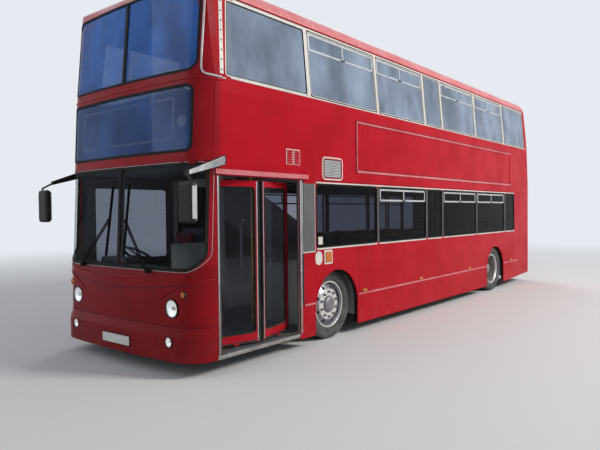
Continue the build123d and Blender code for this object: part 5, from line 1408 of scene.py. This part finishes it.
    def right_fittings(self) -> None:
        """Fuel flap and air grilles of the driver's side."""
        side = Side.RIGHT
        form = Form()
        flap = rounded(3.30, 3.62, 0.70, 1.00, 0.03)
        side_run(form, flap, side, flat(0.008, -0.002, 0.001), "black", closed=True)
        side_plate(form, rounded(3.306, 3.614, 0.706, 0.994, 0.026), side, -0.001, 0.004, "red", 0.002)
        side_plate(form, rounded(3.56, 3.60, 0.83, 0.87, 0.019, 6), side, 0.002, 0.008, "alloy", 0.002)
        for s0, s1, z0, z1 in ((9.56, 10.12, 0.62, 1.32), (9.56, 10.12, 2.25, 2.75)):
            mouth, pitch = rounded(s0, s1, z0, z1, 0.02), 0.042
            side_run(form, mouth, side, flat(0.018, -0.002, 0.007, 0.003), "red", closed=True)
            side_plate(form, mouth, side, -0.001, 0.002, "black")
            for i in range(int((z1 - z0) / pitch)):
                low = z0 + 0.012 + pitch * i
                slat = rounded(s0 + 0.015, s1 - 0.015, low, low + 0.026, 0.006, 2)
                form.slab(
                    [BODY.on_side(s, z, side, 0.001) for s, z in slat], Vector((0, -0.009, -0.009)), "red", 0.002
                )
        self.piece(form, "driver_side_fittings", "black_trim")

    def strip_spot(self, share: float) -> Pair:
        """Station and height on the leaning corner strip at a share of its length."""
        return self.strip_s + 0.055 * share, 3.13 + 0.84 * share

    def corner_strips(self) -> None:
        """Bare strips with screw holes at the front corners of the upper deck."""
        form = Form()
        for side in Side:
            spots = [self.strip_spot(i / 8) for i in range(9)]
            side_run(form, spots, side, flat(0.052, -0.002, 0.004), "white")
            for i in range(8):
                centre = BODY.on_side(*self.strip_spot((i + 0.4) / 8), side, 0.004)
                form.lathe([(0.0, 0.0105), (0.0012, 0.009), (0.0006, 0.0)], centre, side.out(), "black", 12)
        self.piece(form, "corner_strips", "wheel_metal")


@dataclass
class Doors(SubAssembly):
    """Rubber edges, strips and handles of the entrance doors."""

    rest: float = math.radians(14)
    front: float = 0.405
    rear: float = 1.73
    post_out: float = 1.241
    post_radius: float = 0.014
    leaf_thick: float = 0.028
    bottom: float = 0.242
    top: float = 2.042
    lead: float = 0.03
    sill_studs: int = 9

    def ends(self) -> Pair:
        """Stations of the front leaf's ends when it is shut."""
        return self.front + 0.005, (self.front + self.rear) / 2 - 0.003

    def leaf_place(self) -> Matrix:
        """Turns a front-leaf point from shut to its rest place."""
        start, end = self.ends()
        start += self.post_radius
        post = Vector((BODY.x(start), self.post_out, 0))
        middle = Vector((BODY.x(start + (end - self.lead - start) / 2), self.post_out, 0))
        turn = Matrix.Translation(post) @ Matrix.Rotation(self.rest, 4, "Z") @ Matrix.Translation(-post)
        moved = turn @ middle
        return Matrix.Translation(moved) @ Matrix.Rotation(-self.rest, 4, "Z") @ Matrix.Translation(-middle)

    def leaf(self, name: str, mirrored: bool) -> None:
        """Builds one leaf's trim where the door is shut, then moves it with its leaf."""
        s0, s1 = self.ends()
        y = self.post_out - (self.post_radius + self.leaf_thick / 2 + 0.005)
        y0, y1 = y - self.leaf_thick / 2, y + self.leaf_thick / 2
        form = Form()
        x0, x1 = BODY.x(s0), BODY.x(s1)
        low, high = self.bottom, self.top
        form.block((x1 - 0.001, y0 - 0.006, low + 0.004), (x1 + 0.030, y1 + 0.003, high - 0.004), "rubber", 0.003)
        form.block((x1 + 0.030, y1 - 0.002, low + 0.01), (x1 + 0.041, y1 + 0.002, high - 0.01), "light_grey", 0.001)
        form.block((x0 - 0.016, y1 - 0.002, low + 0.01), (x0 - 0.001, y1 + 0.002, high - 0.01), "trim", 0.001)
        glass = split_runs(rounded(x1 + 0.062, x0 - 0.062, low + 0.11, high - 0.075, 0.045), 0.3)
        for level in (y1, y0):
            path = [Vector((px, level, pz)) for px, pz in glass]
            way = Vector((0, 1 if level == y1 else -1, 0))
            form.sweep(path, [way] * len(path), flat(0.015, -0.003, 0.002), "rubber", closed=True)
        form.block((x1 + 0.05, y1 - 0.001, low + 0.002), (x0 - 0.02, y1 + 0.002, low + 0.022), "trim", 0.001)
        middle = (x0 + x1) / 2
        reach = ((0.002, 0.95), (0.05, 0.97), (0.055, 1.2), (0.055, 1.55), (0.05, 1.58), (0.002, 1.60))
        form.rod([Vector((middle - 0.13, y0 - stand, z)) for stand, z in reach], 0.013, "grey")
        for z in (low + 0.03, high - 0.05):
            form.block((middle - 0.03, y0 - 0.002, z), (middle + 0.03, y0 + 0.002, z + 0.03), "white", 0.001)
        place = self.leaf_place()
        form.points = [place @ p for p in form.points]
        if mirrored:
            centre = BODY.x((self.front + self.rear) / 2)
            form.points = [Vector((2 * centre - p.x, p.y, p.z)) for p in form.points]
        self.piece(form, f"door_trim_{name}", "black_trim", f"door_leaf_{name}")

    def build(self) -> None:
        """Builds the doorway's strips and both leaves' trim."""
        self.leaf("front", False)
        self.leaf("rear", True)
        form = Form()
        for s0, s1 in ((0.385, 0.404), (1.732, 1.765)):
            form.block((BODY.x(s1), 1.256, 0.21), (BODY.x(s0), 1.2645, 2.07), "alloy", 0.003)
        form.block((BODY.x(1.80), 1.2595, 0.55), (BODY.x(1.766), 1.2635, 2.07), "trim", 0.001)
        form.block((BODY.x(1.71), 1.256, 0.166), (BODY.x(0.37), 1.2655, 0.209), "step", 0.004)
        for i in range(self.sill_studs):
            x = BODY.x(0.45 + 0.15 * i)
            form.lathe(
                [(0.0, 0.006), (0.002, 0.005), (0.0028, 0)], Vector((x, 1.2655, 0.19)), Vector((0, 1, 0)), "alloy", 12
            )
        self.piece(form, "doorway_strips", "wheel_metal")
        self.dress("red", "door_leaf_front", "door_leaf_rear")
        self.dress("door_glass", "door_glass_front", "door_glass_rear")
        self.dress("steel", "door_arms_front", "door_arms_rear")


@dataclass
class Wheels(SubAssembly):
    """Tyres with tread and walls, and the wheels' nuts and caps."""

    radius: float = 0.455
    rim: float = 0.308
    width: float = 0.275
    front_axle: float = 2.505
    rear_axle: float = 8.225
    front_y: float = 1.012
    rear_y: float = 1.068
    twin: float = 0.31
    studs: int = 10
    circle: float = 0.167

    def tyre_section(self) -> list[Pair]:
        """Open section of a tyre, with grooves in its tread and rings on its walls."""
        half = self.width / 2
        tread = []
        ribs, land, groove, deep = 5, 0.033, 0.0095, 0.011
        start = -(ribs * land + (ribs - 1) * groove) / 2
        for i in range(ribs):
            a = start + i * (land + groove)
            tread += [(a, self.radius), (a + land, self.radius)]
            if i < ribs - 1:
                floor = self.radius - deep
                tread += [(a + land + 0.002, floor), (a + land + groove - 0.002, floor)]
        wall = [
            (half - inset, self.radius - depth) for inset, depth in (
                (0.028, 0.004), (0.014, 0.014), (0.006, 0.030), (0.003, 0.046), (0.0045, 0.048), (0.0015, 0.068),
                (0.0, 0.082), (0.0016, 0.090), (0.0016, 0.094), (0.001, 0.096), (0.007, 0.115), (0.013, 0.128),
                (0.012, 0.131),
            )
        ]
        wall += [(half - 0.020, self.rim + 0.008), (half - 0.028, self.rim + 0.0008)]
        other = [(-a, r) for a, r in reversed(wall)]
        return other + tread + wall

    def hub(self, station: float, y: float) -> Vector:
        """A point on an axle's line."""
        return Vector((BODY.x(station), y, self.radius))

    def tyre(self, form: Form, station: float, y: float) -> None:
        """One tyre, with shoulder blocks cut across its edges."""
        centre = self.hub(station, y)
        form.lathe(self.tyre_section(), centre, Vector((0, 1, 0)), "tyre", 96)
        half, r, blocks = self.width / 2, self.radius, 60
        for i in range(blocks):
            a = 2 * math.pi * i / blocks
            spoke = Vector((math.cos(a), 0, math.sin(a)))
            along = Vector((-math.sin(a), 0, math.cos(a)))
            for way in (1, -1):
                y0, y1 = way * (half - 0.034), way * (half - 0.0135)
                corner = [(y0, r - 0.003), (y1, r - 0.0135), (y1, r - 0.020), (y0, r - 0.020)]
                base = [centre + spoke * up + Vector((0, across, 0)) - along * 0.014 for across, up in corner]
                form.slab(base, along * 0.028, "tyre")

    def bright_ring(self, form: Form, station: float, y: float, side: Side, section: Outline) -> None:
        """A pale ring, such as the lip of the rim or the one that the nuts stand on."""
        form.lathe(section, self.hub(station, side.value * y), side.out(), "bright_wheel", 72)

    def cap(
        self, form: Form, hub: Vector, side: Side, section: Outline, key: str, bolts: tuple[int, float, float]
    ) -> None:
        """A hub's cap with its bolts: how many, on what circle and of what radius."""
        axis = side.out()
        form.lathe(section, hub, axis, key, 40)
        count, circle, r = bolts
        for i in range(count):
            a = 2 * math.pi / count * i
            bolt = hub + Vector((circle * math.cos(a), side.value * 0.004, circle * math.sin(a)))
            form.lathe([(0.0, r), (r - 0.001, r), (r, 0.0)], bolt, axis, "rear_wheel", 6)

    def nuts(self, form: Form, station: float, y: float, side: Side, key: str) -> None:
        """Hexagon nuts with the round ends of their studs."""
        axis = side.out()
        for i in range(self.studs):
            a = 2 * math.pi * i / self.studs
            centre = self.hub(station, y) + self.circle * Vector((math.sin(a), 0, math.cos(a)))
            nut = [(0.0, 0.021), (0.004, 0.020), (0.004, 0.0175), (0.022, 0.0175), (0.026, 0.014)]
            form.lathe(nut, centre, axis, key, 6)
            form.lathe([(0.022, 0.010), (0.040, 0.010), (0.042, 0.008), (0.042, 0)], centre, axis, key, 14)

    def build(self) -> None:
        """Builds tyres and nuts and dresses the wheels."""
        for side in Side:
            name = side.name.lower()
            form = Form()
            self.tyre(form, self.front_axle, side.value * self.front_y)
            tyre = self.piece(form, f"front_tyre_{name}", "tyre_rubber", f"wheel_front_{name}", 30)
            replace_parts(tyre, f"tyre_front_{name}")
            form = Form()
            self.tyre(form, self.rear_axle, side.value * self.rear_y)
            self.tyre(form, self.rear_axle, side.value * (self.rear_y - self.twin))
            tyre = self.piece(form, f"rear_tyres_{name}", "tyre_rubber", f"wheels_rear_{name}", 30)
            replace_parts(tyre, f"tyres_rear_{name}")
            form = Form()
            lip = [(0.1075, 0.3075), (0.1095, 0.306), (0.1095, 0.296), (0.108, 0.2935), (0.086, 0.280)]
            seat = [(0.094, 0.204), (0.0965, 0.2025), (0.0985, 0.116), (0.096, 0.1145)]
            for section in (lip, seat):
                self.bright_ring(form, self.front_axle, self.front_y, side, section)
            self.nuts(form, self.front_axle, side.value * (self.front_y + 0.096), side, "wheel")
            hub = self.hub(self.front_axle, side.value * (self.front_y + 0.134))
            dish = [(-0.002, 0.070), (0.004, 0.066), (0.006, 0.045), (0.004, 0.040), (0.004, 0.0)]
            self.cap(form, hub, side, dish, "wheel", (6, 0.055, 0.006))
            self.piece(form, f"front_nuts_{name}", "wheel_metal", f"wheel_front_{name}", 30)
            form = Form()
            lip = [(0.1075, 0.3075), (0.1095, 0.306), (0.1095, 0.292), (0.106, 0.288), (0.094, 0.284)]
            self.bright_ring(form, self.rear_axle, self.rear_y, side, lip)
            self.nuts(form, self.rear_axle, side.value * (self.rear_y - 0.142), side, "rear_wheel")
            hub = self.hub(self.rear_axle, side.value * (self.rear_y + 0.046))
            dish = [(-0.002, 0.068), (0.004, 0.062), (0.005, 0.03), (0.005, 0.0)]
            self.cap(form, hub, side, dish, "rear_wheel", (8, 0.052, 0.007))
            self.piece(form, f"rear_nuts_{name}", "wheel_metal", f"wheels_rear_{name}", 30)
            self.dress("wheel", f"wheel_front_{name}")
            self.dress("rear_wheel", f"wheels_rear_{name}")


@dataclass
class Mirrors(SubAssembly):
    """The outside mirrors' glass, rims and ribbed arms."""

    inner: float = 1.258
    outer: float = 1.466
    glass_s: float = -0.058
    ribs: int = 5

    def build(self) -> None:
        """Builds the mirrors' trim."""
        form = Form()
        for side in Side:
            y0, y1 = sorted((side.value * self.inner, side.value * self.outer))
            x = BODY.x(self.glass_s)
            glass = [Vector((x + 0.001, y, z)) for y, z in rounded(y0 + 0.02, y1 - 0.02, 1.612, 1.968, 0.03)]
            form.slab(glass, Vector((-0.004, 0, 0)), "chrome", 0.001)
            rim = [Vector((x - 0.001, y, z)) for y, z in rounded(y0 + 0.014, y1 - 0.014, 1.606, 1.974, 0.034)]
            form.sweep(rim, [Vector((-1, 0, 0))] * len(rim), flat(0.007, -0.004, 0.005), "light_grey", closed=True)
            edge = [Vector((BODY.x(-0.094), side.value * self.outer, z)) for z in (1.635, 1.79, 1.945)]
            form.sweep(edge, [side.out()] * 3, flat(0.052, -0.003, 0.0035, 0.003), "light_grey")
            for i in range(self.ribs):
                root, tip = 2.197 + 0.019 * i, 2.060 + 0.0075 * i
                rib = [
                    Vector((BODY.x(0.48 - 0.52 * share), side.value * 1.3005, root + (tip - root) * share))
                    for share in (0.03, 0.95)
                ]
                form.sweep(rib, [side.out()] * 2, bead(0.009, 0.005), "light_grey")
            for z in (2.205, 2.265):
                centre = Vector((BODY.x(0.462), side.value * 1.3, z))
                form.lathe([(0.0, 0.012), (0.005, 0.011), (0.006, 0.0)], centre, side.out(), "black", 6)
        self.piece(form, "mirror_trim", "black_trim")
        self.dress("trim", "mirrors")


# Seats and the inside


# A row: its side's sign, its first station, how many seats and the height of its floor
Row = tuple[int, float, int, float]

# A stuffed cushion and a stuffed back
Stuffed = tuple[bmesh.types.BMesh, bmesh.types.BMesh]


@dataclass
class Seats(SubAssembly):
    """Padded passenger and driver seats on moulded shells."""

    pitch_low: float = 0.76
    pitch_up: float = 0.735
    inner: float = 0.32
    outer: float = 1.18
    voxel: float = 0.022
    pressure: float = 3.0
    steps: int = 12
    rows_low: tuple[Row, ...] = (
        (1, 3.33, 5, 0.28), (-1, 4.40, 4, 0.28), (1, 8.87, 1, 0.52), (-1, 8.87, 1, 0.52),
    )
    rows_up: tuple[Row, ...] = (
        (1, 0.76, 12, 2.33), (-1, 0.76, 2, 2.33), (-1, 4.435, 7, 2.33),
    )

    def pad(self, size: Vector, name: str) -> bmesh.types.BMesh:
        """A stuffed pad, inflated as cloth and crowned, centred on its own origin.

        Args:
            size: width, depth and thickness.
            name: a name for the work object.

        Returns:
            The finished mesh.
        """
        work = bmesh.new()
        bmesh.ops.create_cube(work, size=1)
        bmesh.ops.scale(work, vec=size * 0.94, verts=work.verts)
        bmesh.ops.bevel(work, geom=work.edges[:], offset=size.z * 0.3, segments=2, affect="EDGES")
        mesh = bpy.data.meshes.new(name)
        work.to_mesh(mesh)
        work.free()
        cushion = bpy.data.objects.new(name, mesh)
        bpy.context.scene.collection.objects.link(cushion)
        bpy.context.view_layer.objects.active = cushion
        remesh = cushion.modifiers.new("remesh", "REMESH")
        remesh.mode = "VOXEL"
        remesh.voxel_size = self.voxel
        self.bake(cushion)
        cloth = cushion.modifiers.new("cloth", "CLOTH")
        cloth.settings.quality = 4
        cloth.settings.use_pressure = True
        cloth.settings.uniform_pressure_force = self.pressure
        cloth.settings.effector_weights.gravity = 0
        for step in range(1, self.steps + 1):
            bpy.context.scene.frame_set(step)
        self.bake(cushion)
        bpy.context.scene.frame_set(1)
        half = size / 2
        for v in cushion.data.vertices:
            v.co = Vector((max(-half[i], min(half[i], v.co[i])) for i in range(3)))
        result = bmesh.new()
        result.from_mesh(cushion.data)
        bpy.data.objects.remove(cushion)
        return result

    def bake(self, cushion: bpy.types.Object) -> None:
        """Applies an object's modifiers to its mesh."""
        graph = bpy.context.evaluated_depsgraph_get()
        mesh = bpy.data.meshes.new_from_object(cushion.evaluated_get(graph))
        cushion.modifiers.clear()
        cushion.data = mesh

    def seat(
        self, pads: Form, shell: Form, stuffed: Stuffed, front: float, y0: float, y1: float, floor: float
    ) -> None:
        """One seat, single or double by its width, at a station."""
        low_pad, back_pad = stuffed
        lean = math.atan2(0.09, 0.57)
        count = 2 if y1 - y0 > 0.6 else 1
        step = (y1 - y0) / count
        for i in range(count):
            y = y0 + step * (i + 0.5)
            for pad, back, up, turn in (
                (low_pad, 0.205, 0.412, math.radians(-3)), (back_pad, 0.445, 0.72, math.pi / 2 + lean),
            ):
                place = Matrix.Translation((BODY.x(front + back), y, floor + up)) @ Matrix.Rotation(turn, 4, "Y")
                pads.merge(pad, "moquette", place)
        under = [
            (0.01, 0.36), (0.01, 0.385), (0.40, 0.375), (0.47, 0.42), (0.565, 1.0), (0.58, 1.0), (0.575, 0.985),
            (0.487, 0.375), (0.46, 0.358),
        ]
        outline = [Vector((BODY.x(front + s), y0 + 0.01, floor + z)) for s, z in under]
        shell.slab(outline, Vector((0, y1 - y0 - 0.02, 0)), "shell")
        middle, foot = (y0 + y1) / 2, floor + 0.001
        for s1, s0, half, top, edge in ((0.34, 0.14, 0.028, 0.362, 0.01), (0.38, 0.10, 0.14, 0.012, 0.004)):
            low = (BODY.x(front + s1), middle - half, foot)
            shell.block(low, (BODY.x(front + s0), middle + half, floor + top), "shell", edge)
        if count == 2:
            turns = ((0.0, 0.10, 0.97), (0.006, 0.11, 1.005), (0.006, 0.16, 1.013))
            rail = [Vector((BODY.x(front + 0.545 + s), y0 + y, floor + z)) for s, y, z in turns]
            rail += [Vector((BODY.x(front + 0.545 + s), y1 - y, floor + z)) for s, y, z in reversed(turns)]
            shell.rod(rail, 0.012, "yellow", 8)

    def deck(self, name: str, node: str, rows: Sequence[Row], pitch: float, stuffed: Stuffed) -> None:
        """All seats of one deck."""
        pads, shell = Form(), Form()
        for side, first, count, floor in rows:
            y0, y1 = sorted((side * self.inner, side * self.outer))
            for i in range(count):
                self.seat(pads, shell, stuffed, first + i * pitch, y0, y1, floor)
        self.finish(name, node, pads, shell)

    def finish(self, name: str, node: str, pads: Form, shell: Form) -> None:
        """Makes a deck's pads and shells stand for its model piece."""
        cushions = self.piece(pads, f"{name}_cushions", "seat_moquette", angle=60)
        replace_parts(cushions, node)
        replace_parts(self.piece(shell, f"{name}_frames", "cabin_laminate"), node)

    def build(self) -> None:
        """Builds the seats of both decks and the driver's."""
        stuffed = (
            self.pad(
                Vector((0.40, 0.405, 0.085)), "cushion_work"
            ), self.pad(Vector((0.555, 0.40, 0.068)), "back_work"),
        )
        self.deck("lower_seat", "lower_seats", self.rows_low, self.pitch_low, stuffed)
        self.deck("upper_seat", "upper_seats", self.rows_up, self.pitch_up, stuffed)
        pads, shell = Form(), Form()
        self.seat(pads, shell, stuffed, 1.12, -0.88, -0.42, 0.47)
        self.finish("driver_seat", "driver_seat", pads, shell)
        for pad in stuffed:
            pad.free()


@dataclass
class Cabin(SubAssembly):
    """Finishes and small fittings of the inside."""

    def build(self) -> None:
        """Dresses the inside and adds the dashboard's binnacle with its dials."""
        self.dress("vinyl", "lower_floor", "upper_floor", "staircase")
        self.dress("laminate", "wheel_boxes", "cab_partition", "rear_bulkhead", "stair_side")
        self.dress("dark_laminate", "dashboard", "steering_wheel")
        self.dress("yellow", "handrails")
        form = Form()
        x0, x1 = BODY.x(0.56), BODY.x(0.40)
        form.block((x0, -0.92, 1.07), (x1, -0.38, 1.15), "dark_laminate", 0.02)
        dial = [(0.0, 0.052), (0.004, 0.050), (0.004, 0.046), (0.001, 0.044), (0.001, 0)]
        for y in (-0.80, -0.66, -0.52):
            form.lathe(dial, Vector((x0 - 0.001, y, 1.11)), Vector((-1, 0, 0.2)), "grey", 28)
        self.piece(form, "instrument_binnacle", "cabin_laminate")


@dataclass
class RearEnd(SubAssembly):
    """Louvres, gaskets, plate and bumper trim of the rear, and the panel that closes its dome."""

    crown: float = 4.2253
    crown_radius: float = 11.338
    dome_x: float = -4.7488
    dome_radius: float = 0.42
    dome_half: float = 1.14
    dome_foot: float = 4.004
    louvres: tuple[int, float, float] = (9, 0.62, 0.045)
    plate: tuple[float, float, float] = (0.26, 1.56, 1.67)
    exit_edge: tuple[float, ...] = (-0.725, 0.725, 3.145, 3.825, 0.05)
    eaves: tuple[float, float, float] = (0.9882, 0.97073, 3.98292)
    eaves_radius: float = 0.2

    def dome(self) -> None:
        """Closes the roof's rear dome with a panel that follows its arc up to the crown."""
        form, columns, rows = Form(), 40, 14
        centre = self.crown - self.dome_radius
        points = []
        for out in (0.0015, -0.006):
            for i in range(columns + 1):
                y = self.dome_half * math.sin(math.pi * (i / columns - 0.5))
                top = self.crown - self.crown_radius + math.sqrt(self.crown_radius**2 - y**2)
                if abs(y) > self.eaves[0]:
                    top = self.eaves[2] + math.sqrt(self.eaves_radius**2 - (abs(y) - self.eaves[1]) ** 2)
                ends = (self.dome_foot, min(top, self.crown - 0.0002))
                low, high = (math.asin((z - centre) / self.dome_radius) for z in ends)
                for j in range(rows + 1):
                    turn = low + (high - low) * j / rows
                    reach = self.dome_radius + out
                    points.append(Vector((self.dome_x - reach * math.cos(turn), y, centre + reach * math.sin(turn))))
        ring, sheet = rows + 1, (rows + 1) * (columns + 1)
        faces = [
            (s + i * ring + j, s + i * ring + j + 1, s + (i + 1) * ring + j + 1, s + (i + 1) * ring + j)
            for s in (0, sheet) for i in range(columns) for j in range(rows)
        ]
        edge = [i * ring for i in range(columns)] + [columns * ring + j for j in range(rows)]
        edge += [i * ring + rows for i in range(columns, 0, -1)] + list(range(rows, 0, -1))
        faces += [(a, b, b + sheet, a + sheet) for a, b in zip(edge, [*edge[1:], edge[0]])]
        form.take(points, faces, "roof")
        self.piece(form, "rear_dome", "red_paint")

    def build(self) -> None:
        """Builds the rear's trim on the covers and the body."""
        self.dome()
        form = Form()
        count, first, pitch = self.louvres
        for i in range(count):
            z = first + pitch * i
            for y0, y1 in ((-0.798, -0.062), (0.062, 0.798)):
                mouth = [Vector((BODY.x(BODY.length) + 0.0155, y, z + 0.001)) for y in (y0, y1)]
                form.sweep(mouth, [Vector((0, 0, 1))] * 2, flat(0.030, -0.001, 0.0006, 0.0003), "black")
        for y0, y1 in ((-0.82, -0.04), (0.04, 0.82)):
            rear_run(form, rounded(y0, y1, 0.60, 1.045, 0.02), flat(0.012, -0.002, 0.006), "red")
        rear_plate(form, rounded(-0.05, 0.05, 0.47, 0.53, 0.01), -0.001, Vector((-0.012, 0, 0)), "trim", 0.003)
        self.piece(form, "engine_cover_louvres", "red_paint", "engine_cover")
        form = Form()
        rear_run(form, rounded(*self.exit_edge), flat(0.034, -0.010, 0.005), "rubber", 0.1)
        rear_plate(form, rounded(0.745, 0.785, 3.40, 3.56, 0.015), 0.0, Vector((-0.016, 0, 0)), "alloy", 0.004)
        self.piece(form, "emergency_exit_trim", "black_trim", "emergency_exit")
        form = Form()
        half, z0, z1 = self.plate
        outline = rounded(-half, half, z0, z1, 0.012)
        rear_plate(form, outline, -0.001, Vector((-0.009, 0, 0)), "trim", 0.002)
        inner = rounded(-half + 0.006, half - 0.006, z0 + 0.006, z1 - 0.006, 0.01)
        rear_plate(form, inner, 0.006, Vector((-0.0045, 0, 0)), "plate", 0.001)
        for side in Side:
            lamp = rounded(side.value * 0.98 - 0.07, side.value * 0.98 + 0.07, 3.86, 3.90, 0.012)
            rear_plate(form, lamp, -0.002, Vector((-0.014, 0, 0)), "red_lens", 0.004)
            rear_run(form, [(side.value, 0.30), (side.value, 0.42)], flat(0.12, -0.002, 0.006), "trim", closed=False)
        rear_plate(form, rounded(-0.52, 0.52, 2.42, 2.80, 0.04), -0.001, Vector((-0.006, 0, 0.0006)), "black", 0.002)
        self.piece(form, "rear_fittings", "black_trim")


@dataclass
class Underside(SubAssembly):
    """Finishes of the running gear."""

    def build(self) -> None:
        """Dresses the chassis, axles and engine."""
        self.dress("steel", "chassis_frame", "cross_members", "front_axle_beam", "rear_axle")
        self.dress("steel", "knuckle_left", "knuckle_right", "track_rod")
        self.dress("casting", "engine_block")


@dataclass
class Studio:
    """Floor, background, lamps and camera."""

    place: Point = (8.830, 5.610, 1.691)
    yaw: float = math.radians(-141.02)
    pitch: float = math.radians(-1.34)
    roll: float = math.radians(-0.57)
    lens: float = 34.3
    pale: Colour = (0.80, 0.83, 0.88)
    fade: Pair = (7.0, 22.0)
    floor_half: float = 120.0

    def camera(self) -> None:
        """Sets the camera at the photograph's place and angle."""
        forward = Vector((
            math.cos(self.yaw) * math.cos(
                self.pitch
            ), math.sin(self.yaw) * math.cos(self.pitch), math.sin(self.pitch),
        ))
        right = Vector((math.sin(self.yaw), -math.cos(self.yaw), 0))
        up = right.cross(forward)
        right_rolled = math.cos(self.roll) * right + math.sin(self.roll) * up
        up_rolled = math.cos(self.roll) * up - math.sin(self.roll) * right
        data = bpy.data.cameras.new("camera")
        data.lens = self.lens
        data.sensor_width = 36
        data.clip_end = 200
        camera = bpy.data.objects.new("camera", data)
        matrix = Matrix((right_rolled, up_rolled, -forward)).transposed().to_4x4()
        matrix.translation = Vector(self.place)
        camera.matrix_world = matrix
        bpy.context.scene.collection.objects.link(camera)
        bpy.context.scene.camera = camera

    def seen(self, graph: Graph) -> bpy.types.NodeSocket:
        """Whether a ray shows what it meets to the camera, straight or by a reflection or glass."""
        path = graph.add("ShaderNodeLightPath")
        seen = graph.math("MAXIMUM", path.outputs["Is Camera Ray"], path.outputs["Is Glossy Ray"])
        return graph.math("MAXIMUM", seen, path.outputs["Is Transmission Ray"])

    def floor(self) -> None:
        """A plain pale floor that fades into the background."""
        material = bpy.data.materials.new("pale_floor")
        material.use_nodes = True
        graph = Graph(material.node_tree)
        shader = material.node_tree.nodes["Principled BSDF"]
        place = graph.here()
        noise = graph.noise(place, 30.0, 4.0)
        colour = graph.blend(noise.outputs[0], (0.70, 0.70, 0.70), (0.74, 0.74, 0.73))
        graph.link(colour, shader, "Base Color")
        shader.inputs["Roughness"].default_value = 0.9
        far = graph.add("ShaderNodeVectorMath", {0: place}, operation="LENGTH").outputs["Value"]
        seen = self.seen(graph)
        share = graph.math("MULTIPLY", graph.ramp(far, *self.fade), seen)
        pale = graph.add("ShaderNodeEmission", {"Color": (*self.pale, 1), "Strength": 1.0})
        mix = graph.add("ShaderNodeMixShader", {0: share, 1: shader.outputs[0], 2: pale.outputs[0]})
        output = material.node_tree.nodes["Material Output"]
        graph.link(mix.outputs[0], output, "Surface")
        mesh = bpy.data.meshes.new("floor")
        half = self.floor_half
        mesh.from_pydata([(-half, -half, 0), (half, -half, 0), (half, half, 0), (-half, half, 0)], [], [(0, 1, 2, 3)])
        mesh.materials.append(material)
        plane = bpy.data.objects.new("floor", mesh)
        bpy.context.scene.collection.objects.link(plane)

    def lamp(
        self, name: str, place: Point, target: Point, size: float, power: float, colour: Colour = (1, 1, 1)
    ) -> None:
        """A large soft lamp that points at a target."""
        data = bpy.data.lights.new(name, "AREA")
        data.shape = "SQUARE"
        data.size = size
        data.energy = power
        data.color = colour
        lamp = bpy.data.objects.new(name, data)
        lamp.location = place
        way = Vector(target) - Vector(place)
        lamp.rotation_mode = "QUATERNION"
        lamp.rotation_quaternion = way.to_track_quat("-Z", "Y")
        bpy.context.scene.collection.objects.link(lamp)

    def world(self) -> None:
        """A pale background, seen by the camera and in reflections, over a soft even light."""
        world = bpy.data.worlds.new("world")
        bpy.context.scene.world = world
        world.use_nodes = True
        graph = Graph(world.node_tree)
        background = world.node_tree.nodes["Background"]
        output = world.node_tree.nodes["World Output"]
        background.inputs["Color"].default_value = (0.86, 0.91, 1.0, 1)
        background.inputs["Strength"].default_value = 0.38
        seen = self.seen(graph)
        pale = graph.add("ShaderNodeBackground", {"Color": (*self.pale, 1), "Strength": 1.0})
        mix = graph.add("ShaderNodeMixShader", {0: seen, 1: background.outputs[0], 2: pale.outputs[0]})
        graph.link(mix.outputs[0], output, "Surface")

    def build(self) -> None:
        """Builds the studio."""
        bpy.context.scene.view_settings.view_transform = "Standard"
        self.camera()
        self.floor()
        self.world()
        self.lamp("key", (-4.0, 16.0, 12.0), (0, 1.0, 2.0), 5.0, 2900, (1.0, 0.97, 0.93))
        self.lamp("fill", (14.0, -5.0, 8.0), (4.0, 0, 2.0), 8.0, 220, (0.93, 0.96, 1.0))
        self.lamp("back", (-12.0, -10.0, 9.0), (-3.0, 0, 2.0), 8.0, 700)


def main() -> None:
    """Builds the bus's looks in order."""
    logging.basicConfig(level=logging.INFO, format="%(message)s")
    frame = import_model()
    effects = Effects()
    effects.build()
    palette = Palette(effects)
    kinds = (Panels, SideWindows, FrontEnd, Lamps, Doors, Wheels, Mirrors, Seats, Cabin, RearEnd, Underside)
    for part in (*(kind(frame, palette) for kind in kinds), Studio()):
        part.build()
        LOG.info("built %s", type(part).__name__)


if __name__ == "__main__":
    main()
